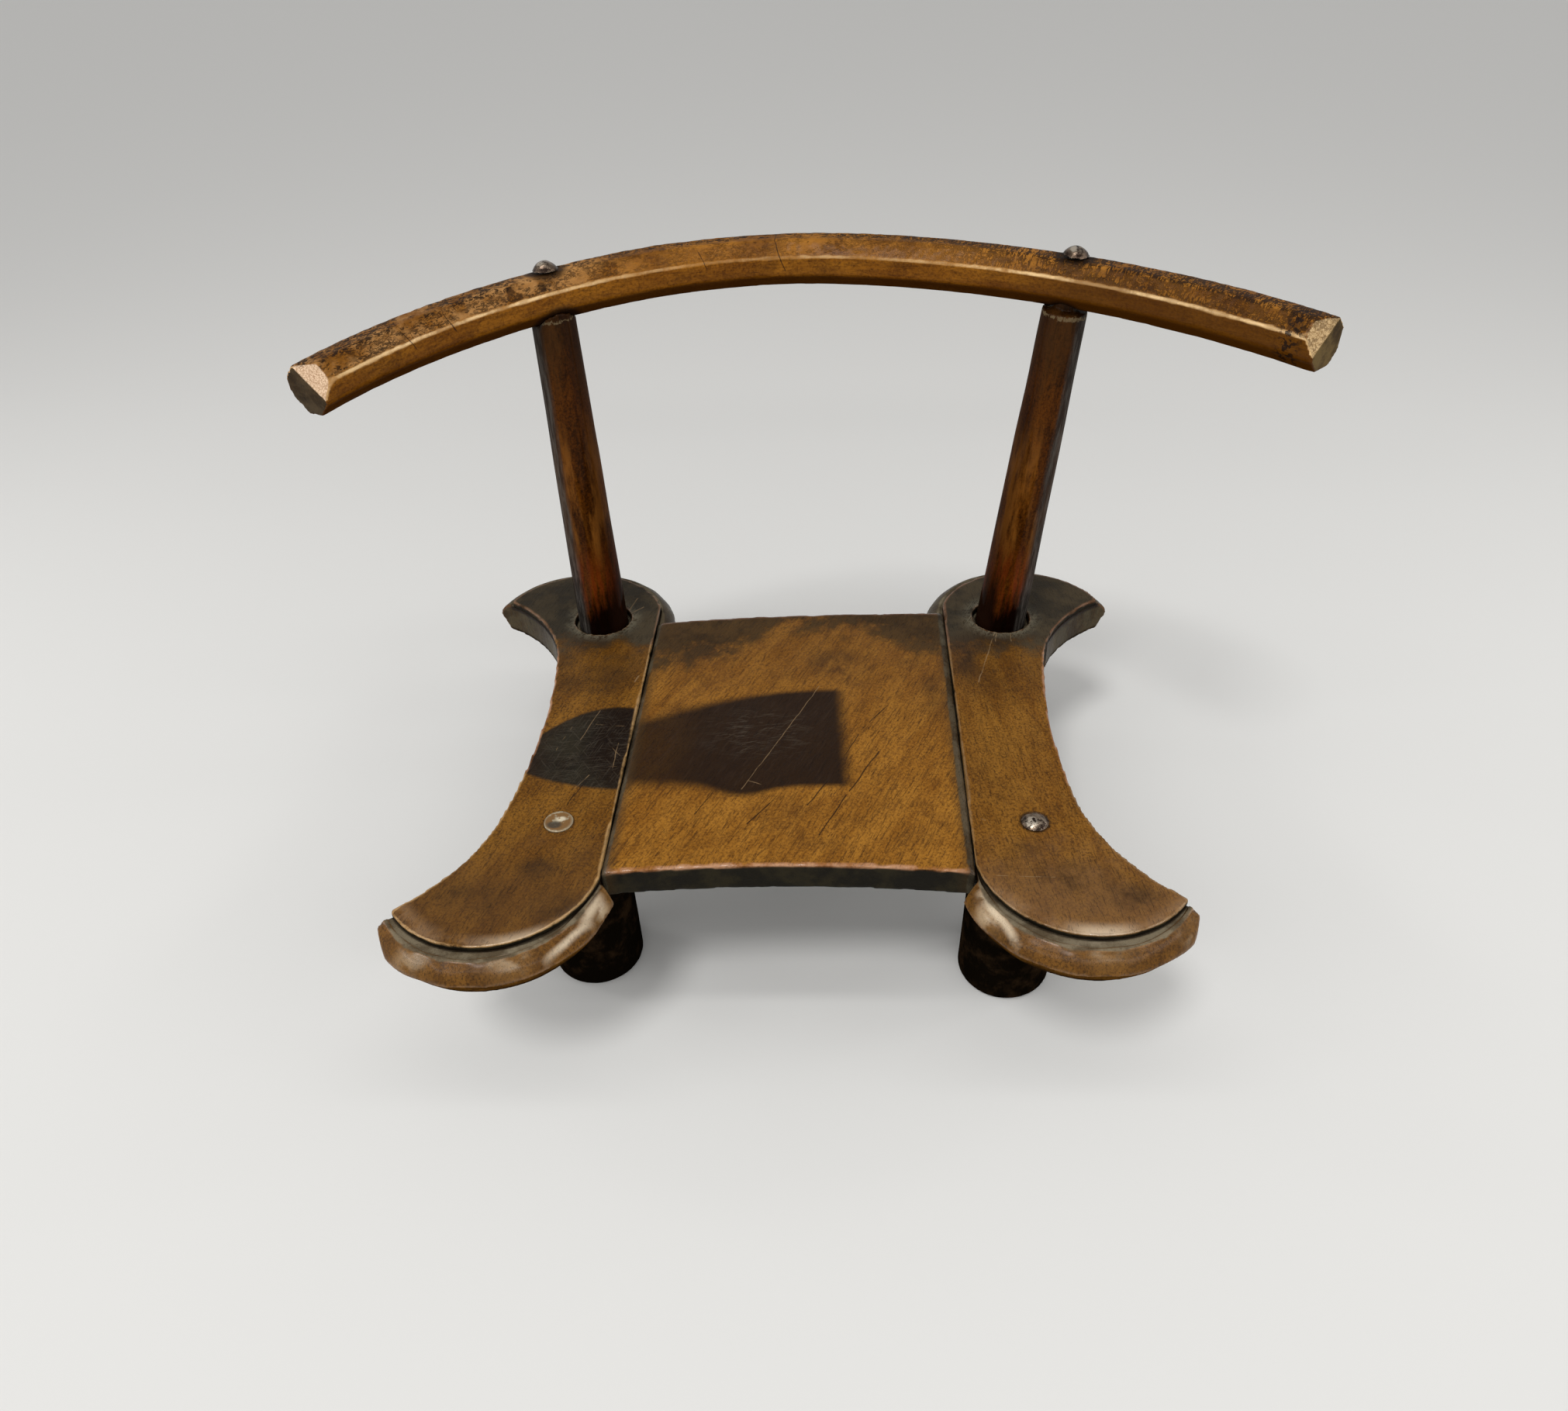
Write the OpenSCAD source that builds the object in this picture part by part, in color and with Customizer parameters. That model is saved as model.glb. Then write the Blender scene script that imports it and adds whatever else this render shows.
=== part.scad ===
// Low wooden chair: a seat of three boards on four legs with crescent capitals, and a bent back rail
// held by two posts. The model is built round the middle of the seat, +Y to the back and +Z up, and
// then moved so that the middle of its footprint on the floor is the origin. Millimetres.

/* [Seat] */
// Height of the seat's top above the floor
seat_h = 152; // [130:1:200]
// Width of the middle board between the back posts, from joint to joint
panel_w = 249; // [220:1:280]
// Turn of the left side plank and its joint, its front end swung outward, in degrees
left_splay = 1.2; // [-1:0.1:3]
// Turn of the right side plank and its joint, its front end swung outward, in degrees
right_splay = -0.4; // [-1:0.1:3]
// Thickness of the middle board
panel_t = 22; // [18:1:28]
// Distance from the seat's middle to the middle board's front corners
panel_front = 148; // [130:1:152]
// How far the middle board's front edge is hollowed between its corners
panel_front_hollow = 7; // [1:0.5:12]
// Distance from the seat's middle to the middle of the middle board's rear edge
panel_rear = 161; // [140:1:170]
// How far the middle board's rear edge swells between its corners
panel_rear_swell = 4; // [1:0.5:10]
// Turn of the middle board's rear edge, the right corner further back
panel_rear_skew = 3; // [0:0.5:4]
// Width of the bevel along the middle board's two joints
panel_bevel_w = 4; // [1:0.5:6]
// Depth of that bevel
panel_bevel_d = 2.5; // [1:0.5:5]
// Thickness of the tongues along the middle board's sides
tongue_t = 8; // [5:0.5:10]
// How far the tongues reach into the side planks
tongue_depth = 10; // [6:1:14]
// Gap left between boards that meet
board_gap = 0.3; // [0.1:0.1:1]

/* [Side planks] */
// Thickness of the side planks between their laps
plank_t = 22; // [18:1:28]
// Thickness of the planks' ends, where they lap over the legs
lap_t = 6; // [4:0.5:9]
// Radius of the planks' round front ends
front_end_r = 75; // [72:1:80]
// Radius of the planks' round rear ends
rear_end_r = 72; // [66:1:78]
// Distance from the joint to the centre of a round front end
front_end_in = 74; // [68:1:78]
// Distance from the joint to the centre of a round rear end
rear_end_in = 69; // [64:1:74]
// Distance from the seat's middle forward to the centres of the round front ends
front_end_reach = 132; // [122:1:145]
// Distance from the seat's middle back to the centres of the round rear ends
rear_end_reach = 156; // [150:1:170]
// How much the left front end lies ahead of that and the right one behind it
front_skew = 6; // [0:1:12]
// Width of a plank at its waist
waist_w = 71; // [64:1:78]
// Distance from the seat's middle back to the waist
waist_y = 8; // [-4:1:20]
// Radius of the long curve along the waist
waist_r = 590; // [450:10:900]
// Distance from the seat's middle forward to where the front horns begin
front_horn = 81; // [70:1:90]
// Distance from the seat's middle back to where the rear horns begin
rear_horn = 97; // [88:1:106]
// How much the left front horn begins ahead of that and the right one behind it
front_horn_skew = 12; // [0:1:16]
// Radius of the hollows under the front horns
front_horn_r = 150; // [130:1:170]
// Radius of the hollows under the rear horns
rear_horn_r = 122; // [110:1:135]
// Distance from a post to the edge of its hole in the plank
post_hole_gap = 3; // [1:0.5:5]

/* [Legs] */
// Radius of a leg at its foot
leg_foot_r = 34.5; // [30:0.5:37]
// Radius of a leg under its capital
leg_top_r = 32; // [28:0.5:35]
// Radius of the worn edge round each foot
foot_round = 5; // [2:0.5:8]
// Distance from the middle board's middle line to the middle of a front leg
front_leg_x = 157.5; // [155:0.5:162]
// Distance from the seat's middle forward to the middles of the front legs
front_leg_y = 94; // [90:1:100]
// How much the right front leg lies ahead of that and the left one behind it
front_leg_skew = 6; // [0:1:8]
// Thickness of the capitals under the planks' laps
capital_t = 26; // [20:1:32]
// Width of the flat ledge that shows at the tip of a plank's end
ledge_w = 7; // [5:0.5:9]
// Width of the crest between the ledge and the lip's slope
crest_w = 0.8; // [0.4:0.1:2]
// How deep the ledge lies below the lip's crest
ledge_drop = 1.5; // [0.5:0.5:2.5]
// How far the middles of the front lips' circles lie ahead of those of the planks' ends
front_lip_ahead = 9.5; // [7:0.5:13]
// How far the middles of the rear lips' circles lie behind those of the planks' ends
rear_lip_behind = 8; // [5:0.5:12]
// How far both front lips are shifted to the left
front_lip_left = 1; // [0:0.5:6]
// How far both rear lips are shifted to the left
rear_lip_left = 1.5; // [0:0.5:4]
// Width of the slope of the front lips, from the crest to the widest line
front_lip_w = 12.5; // [8:0.5:16]
// Width of the slope of the rear lips, from the crest to the widest line
rear_lip_w = 12; // [8:0.5:16]
// Depth of the lips' widest line below their crest
lip_depth = 13; // [8:0.5:16]
// Radius of the swelling curve of a lip's slope
lip_swell_r = 22; // [16:1:60]
// How far the capitals are cut back underneath
lip_undercut = 9; // [2:0.5:12]
// Radius of the curve that rounds off the outer end of a front lip
lip_end_r = 71; // [66:1:80]
// How far the centre of that curve lies ahead of the centre of the plank's end
lip_end_ahead = 33; // [26:1:40]
// Gap between the capitals and the middle board's corners
capital_gap = 4; // [2:0.5:8]
// Slant of a front lip's inner end, in degrees from the chair's width
lip_end_turn = 40; // [20:1:55]
// Gap between a capital and the shoulder of its plank's lap
shoulder_gap = 1; // [0.3:0.1:2]
// Wood left on a leg beside the shoulder of its plank's lap
leg_margin = 2; // [0:0.5:6]

/* [Back] */
// Distance from the joint to the middle of a post's foot
post_in = 48; // [44:0.5:52]
// Distance from the seat's middle back to the posts' feet
post_y = 157; // [150:1:164]
// Radius of a post at the seat
post_foot_r = 21.2; // [18:0.2:23]
// Radius of a post at the rail
post_top_r = 16.4; // [13:0.2:17]
// Radius of the tenon at a post's foot
foot_tenon_r = 16; // [12:0.5:17]
// Length of the tenon at a post's foot
foot_tenon_len = 55; // [35:1:80]
// Radius of the tenon at a post's top
top_tenon_r = 9; // [6:0.5:11]
// How far the top tenon reaches past the middle of the rail
top_tenon_rise = 7; // [2:0.5:9]
// How much further out the left post's top stands than its foot
left_post_out = 7; // [0:1:25]
// How much further out the right post's top stands than its foot
right_post_out = 25; // [0:1:32]
// Gap between the right post's square shoulder and the rail
right_shoulder_gap = 1.5; // [0.3:0.1:4]
// Clearance round the tenons
tenon_fit = 0.2; // [0.05:0.05:0.5]

/* [Rail] */
// Height of the rail's middle line above the seat, at the rail's crown
rail_h = 290; // [240:5:340]
// Radius of the rail, across its rounded corners
rail_r = 18.3; // [17:0.1:20]
// Distance from the rail's middle line to its hewn flats
rail_flat = 17.2; // [15.5:0.1:18]
// How far the rail's crown lies to the left of the seat's middle
rail_shift = 8; // [0:1:20]
// Radius of the rail's middle bend
rail_mid_r = 303; // [260:1:360]
// Length of the middle bend to the left of the crown
mid_left_len = 119; // [80:1:140]
// Length of the middle bend to the right of the crown
mid_right_len = 58; // [30:1:100]
// Radius of the left arm's bend
left_arm_r = 403; // [340:1:600]
// Length of the left arm
left_arm_len = 259; // [200:1:300]
// Radius of the right arm's bend
right_arm_r = 541; // [400:1:700]
// Length of the right arm
right_arm_len = 342; // [240:1:380]
// Rise of the rail's plane towards the back, in degrees
rail_pitch = 4.1; // [0:0.1:8]
// Rise of the rail's plane towards the right, in degrees
rail_roll = 1; // [-2:0.1:3]
// Width of the slanting cut across each end of the rail
end_cut = 10; // [4:0.5:14]
// Angle by which the cut at each end turns up from the front, in degrees
end_cut_turn = 52; // [30:1:70]

/* [Nails] */
// Radius of the heads of the rail's nails
rail_nail_r = 9.8; // [7:0.2:12]
// Height of the heads of the rail's nails
rail_nail_h = 6.8; // [3:0.2:8]
// Radius of the heads of the seat's nails
seat_nail_r = 10.4; // [8:0.2:12]
// Height of the domed head of the right seat nail
domed_nail_h = 5; // [3:0.2:8]
// How far the flat head of the left seat nail stands out
flat_nail_h = 0.8; // [0.4:0.1:1.5]
// Thickness of the flat head of the left seat nail
flat_nail_t = 2; // [1.5:0.1:3]
// Radius of the nails' shanks
shank_r = 2.5; // [1.5:0.1:3.5]
// Length of the seat nails' shanks
seat_shank_len = 48; // [30:1:70]
// Length of the rail nails' shanks
rail_shank_len = 24; // [18:1:26]
// Distance from the middle board's middle line to the seat nails
seat_nail_x = 167.5; // [160:0.5:172]
// Distance from the seat's middle forward to the seat nails
seat_nail_y = 99; // [94:0.5:104]
// Clearance round the nails' shanks
nail_fit = 0.1; // [0.05:0.05:0.3]

/* [Hidden] */

$fn = 96;
LEFT = -1;
RIGHT = 1;
FRONT = true;
REAR = false;
// Longer than anything in the model, for cutting shapes
far = 600;
// Steps in which the slope of a lip is turned
lip_steps = 5;
// Small step or overlap where one curve runs into the next
blend = 0.05;
// Length by which each arm of the rail starts inside the middle bend
rail_lap = 1;

wood = [0.55, 0.36, 0.14];
dark_wood = [0.28, 0.17, 0.08];
honey_wood = [0.62, 0.42, 0.17];
iron = [0.22, 0.19, 0.16];
worn_metal = [0.6, 0.52, 0.4];

joint_x = panel_w / 2;
waist_x = joint_x + waist_w;
lap_z = seat_h - lap_t;
capital_z = lap_z - capital_t;
post_x = joint_x + post_in;
function front_leg_place(side) = [side * front_leg_x, -front_leg_y - side * front_leg_skew];
function front_shoulder_y(side) = front_leg_place(side).y + leg_top_r + leg_margin;
rear_shoulder_y = post_y - leg_top_r - leg_margin;
// The tongues stop short of the laps' shoulders by their own depth
function tongue_front_y(side) = front_shoulder_y(side) + tongue_depth;
tongue_rear_y = rear_shoulder_y - tongue_depth;
tongue_z = seat_h - min(panel_t, plank_t) / 2;

// Centre of a plank's round end; the planks are drawn on the right and mirrored for the left
function end_centre(front, side) = front
    ? [joint_x + front_end_in, -front_end_reach + side * front_skew]
    : [joint_x + rear_end_in, rear_end_reach];
function end_radius(front) = front ? front_end_r : rear_end_r;

// Where the long waist curve hands over to the tighter hollow under a horn, and that hollow's centre
function horn_r(front) = front ? front_horn_r : rear_horn_r;
function horn_y(front, side) = front ? -front_horn + side * front_horn_skew : rear_horn;
function horn_angle(front, side) = asin((horn_y(front, side) - waist_y) / waist_r);
function horn_centre(front, side) =
    let (a = horn_angle(front, side))
    [waist_x + waist_r, waist_y] + (waist_r - horn_r(front)) * [-cos(a), sin(a)];

// Corner of the middle board on one side, at the front or the back
function rear_corner_y(side) = panel_rear + side * joint_x * tan(panel_rear_skew) - panel_rear_swell;
function corner_y(front, side) = front ? -panel_front : rear_corner_y(side);

// The rail's middle line, by the angle turned from its crown, in the rail's own plane
function mid_turn(side) = (side == LEFT ? mid_left_len : mid_right_len) / rail_mid_r * 180 / PI;
function arm_r(side) = side == LEFT ? left_arm_r : right_arm_r;
function arm_turn(side) = (side == LEFT ? left_arm_len : right_arm_len) / arm_r(side) * 180 / PI;
function end_turn(side) = mid_turn(side) + arm_turn(side);
function arm_lap(side) = rail_lap / arm_r(side) * 180 / PI;
function arm_centre(side) =
    let (m = mid_turn(side))
    [side * (rail_mid_r - arm_r(side)) * sin(m), (rail_mid_r - arm_r(side)) * cos(m) - rail_mid_r];
function rail_line(side, turn) = turn <= mid_turn(side)
    ? [side * rail_mid_r * sin(turn), rail_mid_r * (cos(turn) - 1)]
    : arm_centre(side) + arm_r(side) * [side * sin(turn), cos(turn)];
function turn_at(side, reach) =
    let (mid_reach = rail_mid_r * sin(mid_turn(side)))
    reach <= mid_reach
    ? asin(reach / rail_mid_r)
    : asin(sin(mid_turn(side)) + (reach - mid_reach) / arm_r(side));

// Where each post meets the rail
function post_out(side) = side == LEFT ? left_post_out : right_post_out;
function post_turn(side) = turn_at(side, post_x + post_out(side) + side * rail_shift);
rail_y = post_y - (rail_line(LEFT, post_turn(LEFT)).y + rail_line(RIGHT, post_turn(RIGHT)).y) / 2;
rail_place = [-rail_shift, rail_y, seat_h + rail_h];
function tilt_x(p, a) = [p.x, p.y * cos(a) - p.z * sin(a), p.y * sin(a) + p.z * cos(a)];
function tilt_y(p, a) = [p.x * cos(a) + p.z * sin(a), p.y, p.z * cos(a) - p.x * sin(a)];
function on_rail(side, turn) =
    let (p = rail_line(side, turn))
    rail_place + tilt_y(tilt_x([p.x, p.y, 0], rail_pitch), -rail_roll);
function post_foot(side) = [side * post_x, post_y, lap_z];
function post_top(side) = on_rail(side, post_turn(side));
function post_len(side) = norm(post_top(side) - post_foot(side));

// Middle of the footprint, from the parts that reach furthest
left_reach = rail_shift - rail_line(LEFT, end_turn(LEFT)).x + rail_r * sin(end_turn(LEFT));
right_reach = rail_line(RIGHT, end_turn(RIGHT)).x + rail_r * sin(end_turn(RIGHT)) - rail_shift;
front_reach = crest_r(FRONT) + front_lip_w - lip_centre(FRONT, LEFT).y;
rear_reach = max(rail_y + rail_r, crest_r(REAR) + rear_lip_w + lip_centre(REAR, LEFT).y);
middle = [(right_reach - left_reach) / 2, (rear_reach - front_reach) / 2, 0];

module placed() {
    translate(-middle) children();
}

// Draws on the right, and mirrors for the left
module on_side(side) {
    if (side == LEFT) mirror([1, 0, 0]) children();
    else children();
}

// The same for what turns with a side plank, about its post
module with_plank(side) {
    on_side(side) translate([post_x, post_y]) rotate(side == LEFT ? left_splay : right_splay)
        translate([-post_x, -post_y]) children();
}

// Everything in front of, or behind, a line across the chair
module beyond(front, y) {
    translate([-far, front ? y - far : y]) square([2 * far, far]);
}

// What lies outside a plank's hollow outer edge
module outside_waist(side) {
    intersection() {
        translate([waist_x + waist_r, waist_y]) circle(r = waist_r);
        translate([0, horn_y(FRONT, side)]) square([far, horn_y(REAR, side) - horn_y(FRONT, side)]);
    }
    for (front = [FRONT, REAR]) translate(horn_centre(front, side))
        circle(r = horn_r(front) + blend);
}

module plank_outline(side) {
    between_ends = end_centre(REAR, side).y - end_centre(FRONT, side).y;
    difference() {
        intersection() {
            union() {
                for (front = [FRONT, REAR])
                    translate(end_centre(front, side)) circle(r = end_radius(front));
                translate([joint_x, end_centre(FRONT, side).y])
                    square([rear_end_in + rear_end_r / 2, between_ends]);
            }
            translate([joint_x, -far]) square([far, 2 * far]);
        }
        outside_waist(side);
    }
}

// A side plank: full thickness at the waist, and thin laps over the two legs
module side_plank(side) {
    difference() {
        translate([0, 0, seat_h - plank_t]) linear_extrude(plank_t) plank_outline(side);
        translate([0, 0, lap_z - far]) linear_extrude(far) {
            beyond(FRONT, front_shoulder_y(side));
            beyond(REAR, rear_shoulder_y);
        }
        tongue(side, board_gap);
    }
}

// A tongue of the middle board, or with a clearance the groove for it
module tongue(side, clearance) {
    len = tongue_rear_y - tongue_front_y(side);
    translate([joint_x - tongue_depth, tongue_front_y(side), tongue_z] - clearance * [0, 1, 0]
        - [0, 0, tongue_t / 2 + clearance])
        cube([2 * tongue_depth + clearance, len + 2 * clearance, tongue_t + 2 * clearance]);
}

module side_plank_left() {
    color(wood) placed() difference() {
        with_plank(LEFT) side_plank(LEFT);
        post_bore(LEFT);
        seat_nail_hole(LEFT);
        translate([-seat_nail_x, -seat_nail_y, seat_h + flat_nail_h - flat_nail_t])
            cylinder(r = seat_nail_r + nail_fit, h = far);
    }
}

module side_plank_right() {
    color(wood) placed() difference() {
        with_plank(RIGHT) side_plank(RIGHT);
        post_bore(RIGHT);
        seat_nail_hole(RIGHT);
    }
}

module post_bore(side) {
    along_post(side) cylinder(r = post_foot_r + post_hole_gap, h = 4 * plank_t, center = true);
}

module seat_nail_hole(side) {
    translate([side * seat_nail_x, -seat_nail_y, seat_h - seat_shank_len - nail_fit])
        cylinder(r = shank_r + nail_fit, h = far);
}

// The middle board's plan, hollow in front and swelling and skewed at the back
module panel_outline() {
    hollow_r = (pow(joint_x, 2) + pow(panel_front_hollow, 2)) / (2 * panel_front_hollow);
    swell_r = (pow(joint_x, 2) + pow(panel_rear_swell, 2)) / (2 * panel_rear_swell);
    difference() {
        intersection() {
            joint_side(LEFT, board_gap);
            joint_side(RIGHT, board_gap);
            translate([0, panel_rear]) rotate(panel_rear_skew) translate([0, -swell_r])
                circle(r = swell_r, $fn = 360);
        }
        translate([0, panel_front_hollow - panel_front - hollow_r]) circle(r = hollow_r, $fn = 360);
    }
}

module seat_panel() {
    color(wood) placed() {
        difference() {
            translate([0, 0, seat_h - panel_t]) linear_extrude(panel_t) panel_outline();
            for (side = [LEFT, RIGHT]) with_plank(side) joint_bevel();
        }
        for (side = [LEFT, RIGHT]) with_plank(side) tongue(side, 0);
    }
}

// The middle board's side of a joint, less a gap
module joint_side(side, gap) {
    with_plank(side) translate([joint_x - gap - far, -far]) square([far, 2 * far]);
}

// What the bevel along a joint takes off the middle board
module joint_bevel() {
    edge = joint_x - board_gap;
    translate([edge, far, seat_h]) rotate([90, 0, 0]) linear_extrude(2 * far)
        polygon([
            [-panel_bevel_w, 0], [-panel_bevel_w, 1], [1, 1],
            [1, -panel_bevel_d], [0, -panel_bevel_d]
        ]);
}

// Centre of the circles of a leg's lip, and the radius of its crest's outer edge
function lip_centre(front, side) =
    let (c = end_centre(front, side))
    front
    ? [c.x - side * front_lip_left, c.y - front_lip_ahead]
    : [c.x - side * rear_lip_left, c.y + rear_lip_behind];
function crest_r(front) = front
    ? front_end_r + ledge_w - front_lip_ahead + crest_w
    : rear_end_r + ledge_w - rear_lip_behind + crest_w;

// Half of a leg's swelling lip in section, from its middle to the slope and the undercut
module lip_section(front) {
    crest = [crest_r(front), lap_z + ledge_drop];
    slope = [front ? front_lip_w : rear_lip_w, lip_depth];
    len = norm(slope);
    turn = asin(len / 2 / lip_swell_r);
    sink = lip_swell_r * cos(turn);
    across = [slope.x, -slope.y] / len;
    out = [slope.y, slope.x] / len;
    polygon([
        [0, capital_z], [0, crest.y],
        for (i = [0 : lip_steps])
            let (a = turn * (2 * i / lip_steps - 1))
            crest + across * (len / 2 + lip_swell_r * sin(a))
                + out * (lip_swell_r * cos(a) - sink),
        [crest.x + slope.x - lip_undercut, capital_z]
    ]);
}

module lip_body(front, side) {
    at = lip_centre(front, side);
    translate([at.x, at.y, 0]) rotate_extrude($fn = 180) lip_section(front);
}

// Where a capital may lie: beyond the middle board's corner, or under its plank's lap
module capital_area(front, side) {
    shoulder_y = front ? front_shoulder_y(side) - shoulder_gap : rear_shoulder_y + shoulder_gap;
    difference() {
        union() {
            if (front) translate([joint_x, corner_y(front, side)]) rotate(lip_end_turn)
                beyond(front, -capital_gap / 2);
            else beyond(front, corner_y(front, side) + capital_gap);
            intersection() {
                beyond(front, shoulder_y);
                translate([joint_x, -far]) square([far, 2 * far]);
            }
        }
        outside_waist(side);
    }
}

// What is rounded off the outer end of a front lip
module beyond_lip_end(side) {
    c = end_centre(FRONT, side);
    difference() {
        translate([c.x, -far]) square([far, 2 * far]);
        translate([c.x, c.y - lip_end_ahead]) circle(r = lip_end_r);
        translate([0, c.y]) square([far, far]);
    }
}

// A capital: the lip round the plank's end, its ledge, and the bed under the plank's lap
module capital(front, side) {
    difference() {
        intersection() {
            lip_body(front, side);
            translate([0, 0, capital_z]) linear_extrude(far) difference() {
                capital_area(front, side);
                if (front) beyond_lip_end(side);
            }
        }
        at = lip_centre(front, side);
        translate([at.x, at.y, lap_z]) cylinder(r = crest_r(front) - crest_w, h = far);
        translate([end_centre(front, side).x, end_centre(front, side).y, lap_z])
            cylinder(r = end_radius(front) + board_gap, h = far);
    }
    translate([0, 0, capital_z]) linear_extrude(capital_t) intersection() {
        plank_outline(side);
        capital_area(front, side);
    }
}

// The round leg itself, with its foot's edge worn
module column() {
    rise = capital_z + capital_t / 2;
    rotate_extrude() {
        polygon([
            [0, 0], [leg_foot_r - foot_round, 0], [leg_foot_r - foot_round, foot_round],
            [leg_foot_r, foot_round], [leg_top_r, rise], [0, rise]
        ]);
        intersection() {
            translate([leg_foot_r - foot_round, foot_round]) circle(r = foot_round);
            square([leg_foot_r, foot_round]);
        }
    }
}

module front_leg(side) {
    difference() {
        union() {
            with_plank(side) capital(FRONT, side);
            translate(front_leg_place(side)) column();
        }
        seat_nail_hole(side);
    }
}

module rear_leg(side) {
    difference() {
        with_plank(side) {
            capital(REAR, side);
            translate([post_x, post_y, 0]) column();
        }
        along_post(side) translate([0, 0, -foot_tenon_len])
            cylinder(r = foot_tenon_r + tenon_fit, h = far);
    }
}

module front_leg_left() {
    color(dark_wood) placed() front_leg(LEFT);
}

module front_leg_right() {
    color(dark_wood) placed() front_leg(RIGHT);
}

module rear_leg_left() {
    color(dark_wood) placed() rear_leg(LEFT);
}

module rear_leg_right() {
    color(dark_wood) placed() rear_leg(RIGHT);
}

// Puts its children on a post's middle line, upward from the top of the leg
module along_post(side) {
    way = post_top(side) - post_foot(side);
    translate(post_foot(side)) rotate([0, acos(way.z / norm(way)), atan2(way.y, way.x)])
        rotate(90) children();
}

// A post: foot tenon, shoulder on the leg, tapering shaft and top tenon.
// A coped post is hollowed to the rail, and a square one stops just below it.
module back_post(side, coped) {
    shaft = coped ? post_len(side) : post_len(side) - rail_r - right_shoulder_gap;
    // The shaft is drawn from a little lower, so that its slant leaves no wedge above the leg
    root = post_foot_r / 2;
    root_r = post_foot_r + (post_foot_r - post_top_r) * root / shaft;
    difference() {
        along_post(side) translate([0, 0, -root])
            cylinder(r1 = root_r, r2 = post_top_r, h = shaft + root);
        translate([-far, -far, lap_z - far]) cube([2 * far, 2 * far, far]);
        rail_tube(board_gap);
    }
    along_post(side) translate([0, 0, -foot_tenon_len])
        cylinder(r = foot_tenon_r, h = foot_tenon_len + post_len(side) / 2);
    difference() {
        along_post(side) translate([0, 0, post_len(side) / 2])
            cylinder(r = top_tenon_r, h = post_len(side) / 2 + top_tenon_rise);
        rail_nail_holes();
    }
}

module back_post_left() {
    color(dark_wood) placed() back_post(LEFT, true);
}

module back_post_right() {
    color(dark_wood) placed() back_post(RIGHT, false);
}

module in_rail() {
    translate(rail_place) rotate([rail_pitch, -rail_roll, 0]) children();
}

// The rail's section: round, with eight hewn flats, one ridge turned up and forward
module rail_section(grow) {
    intersection() {
        circle(r = rail_r + grow);
        rotate(155) circle(r = (rail_flat + grow) / cos(22.5), $fn = 8);
    }
}

module rail_bend(centre, bend_r, from, turn, grow) {
    translate(centre) rotate(90 - from) mirror([0, 1, 0])
        rotate_extrude(angle = turn, $fn = 180) translate([bend_r, 0]) rail_section(grow);
}

// The whole rail: a middle bend, and an arm at each end that starts a little inside it, a hair thinner
module rail_tube(grow) {
    in_rail() {
        rail_bend([0, -rail_mid_r], rail_mid_r, -mid_turn(LEFT), mid_turn(LEFT) + mid_turn(RIGHT), grow);
        for (side = [LEFT, RIGHT]) on_side(side)
            rail_bend([side * arm_centre(side).x, arm_centre(side).y], arm_r(side),
                mid_turn(side) - arm_lap(side), arm_turn(side) + arm_lap(side), grow - blend);
    }
}

// The slanting cut that takes off the upper front corner of each end
module end_cuts() {
    in_rail() for (side = [LEFT, RIGHT]) mirror([side == LEFT ? 1 : 0, 0, 0]) {
        tip = rail_line(side, end_turn(side));
        translate([side * tip.x, tip.y]) rotate(-end_turn(side)) rotate([-end_cut_turn, 0, 0])
            translate([-end_cut, -rail_r, -rail_r]) rotate([0, 0, 45])
            translate([0, -far, 0]) cube([far, far, 2 * rail_r]);
    }
}

module back_rail() {
    color(honey_wood) placed() difference() {
        rail_tube(0);
        end_cuts();
        for (side = [LEFT, RIGHT]) along_post(side)
            cylinder(r = top_tenon_r + tenon_fit, h = post_len(side) + top_tenon_rise + tenon_fit);
        rail_nail_holes();
    }
}

module rail_nail_holes() {
    for (side = [LEFT, RIGHT]) along_post(side)
        translate([0, 0, post_len(side) + rail_r - rail_shank_len - nail_fit])
        cylinder(r = shank_r + nail_fit, h = far);
}

// A round-headed nail, its head's underside at z = 0
module nail(head_r, head_h, shank_len) {
    dome_r = (pow(head_r, 2) + pow(head_h, 2)) / (2 * head_h);
    intersection() {
        translate([0, 0, head_h - dome_r]) sphere(r = dome_r);
        cylinder(r = head_r + 1, h = head_h + 1);
    }
    translate([0, 0, -shank_len]) cylinder(r = shank_r, h = shank_len + head_h / 2);
}

module rail_nails() {
    color(iron) placed() for (side = [LEFT, RIGHT]) along_post(side)
        translate([0, 0, post_len(side) + rail_r]) nail(rail_nail_r, rail_nail_h, rail_shank_len);
}

module seat_nail_domed() {
    color(iron) placed() translate([seat_nail_x, -seat_nail_y, seat_h])
        nail(seat_nail_r, domed_nail_h, seat_shank_len);
}

module seat_nail_flat() {
    color(worn_metal) placed() translate([-seat_nail_x, -seat_nail_y, 0]) {
        translate([0, 0, seat_h + flat_nail_h - flat_nail_t])
            cylinder(r = seat_nail_r, h = flat_nail_t);
        translate([0, 0, seat_h - seat_shank_len]) cylinder(r = shank_r, h = seat_shank_len);
    }
}

seat_panel();
side_plank_left();
side_plank_right();
front_leg_left();
front_leg_right();
rear_leg_left();
rear_leg_right();
back_post_left();
back_post_right();
back_rail();
rail_nails();
seat_nail_domed();
seat_nail_flat();
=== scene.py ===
"""A low wooden chair with a back rail: worn shapes and old polished finishes over its solids."""

import math

import bpy
import numpy as np
from mathutils import Matrix, Vector
from mathutils.bvhtree import BVHTree


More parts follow.
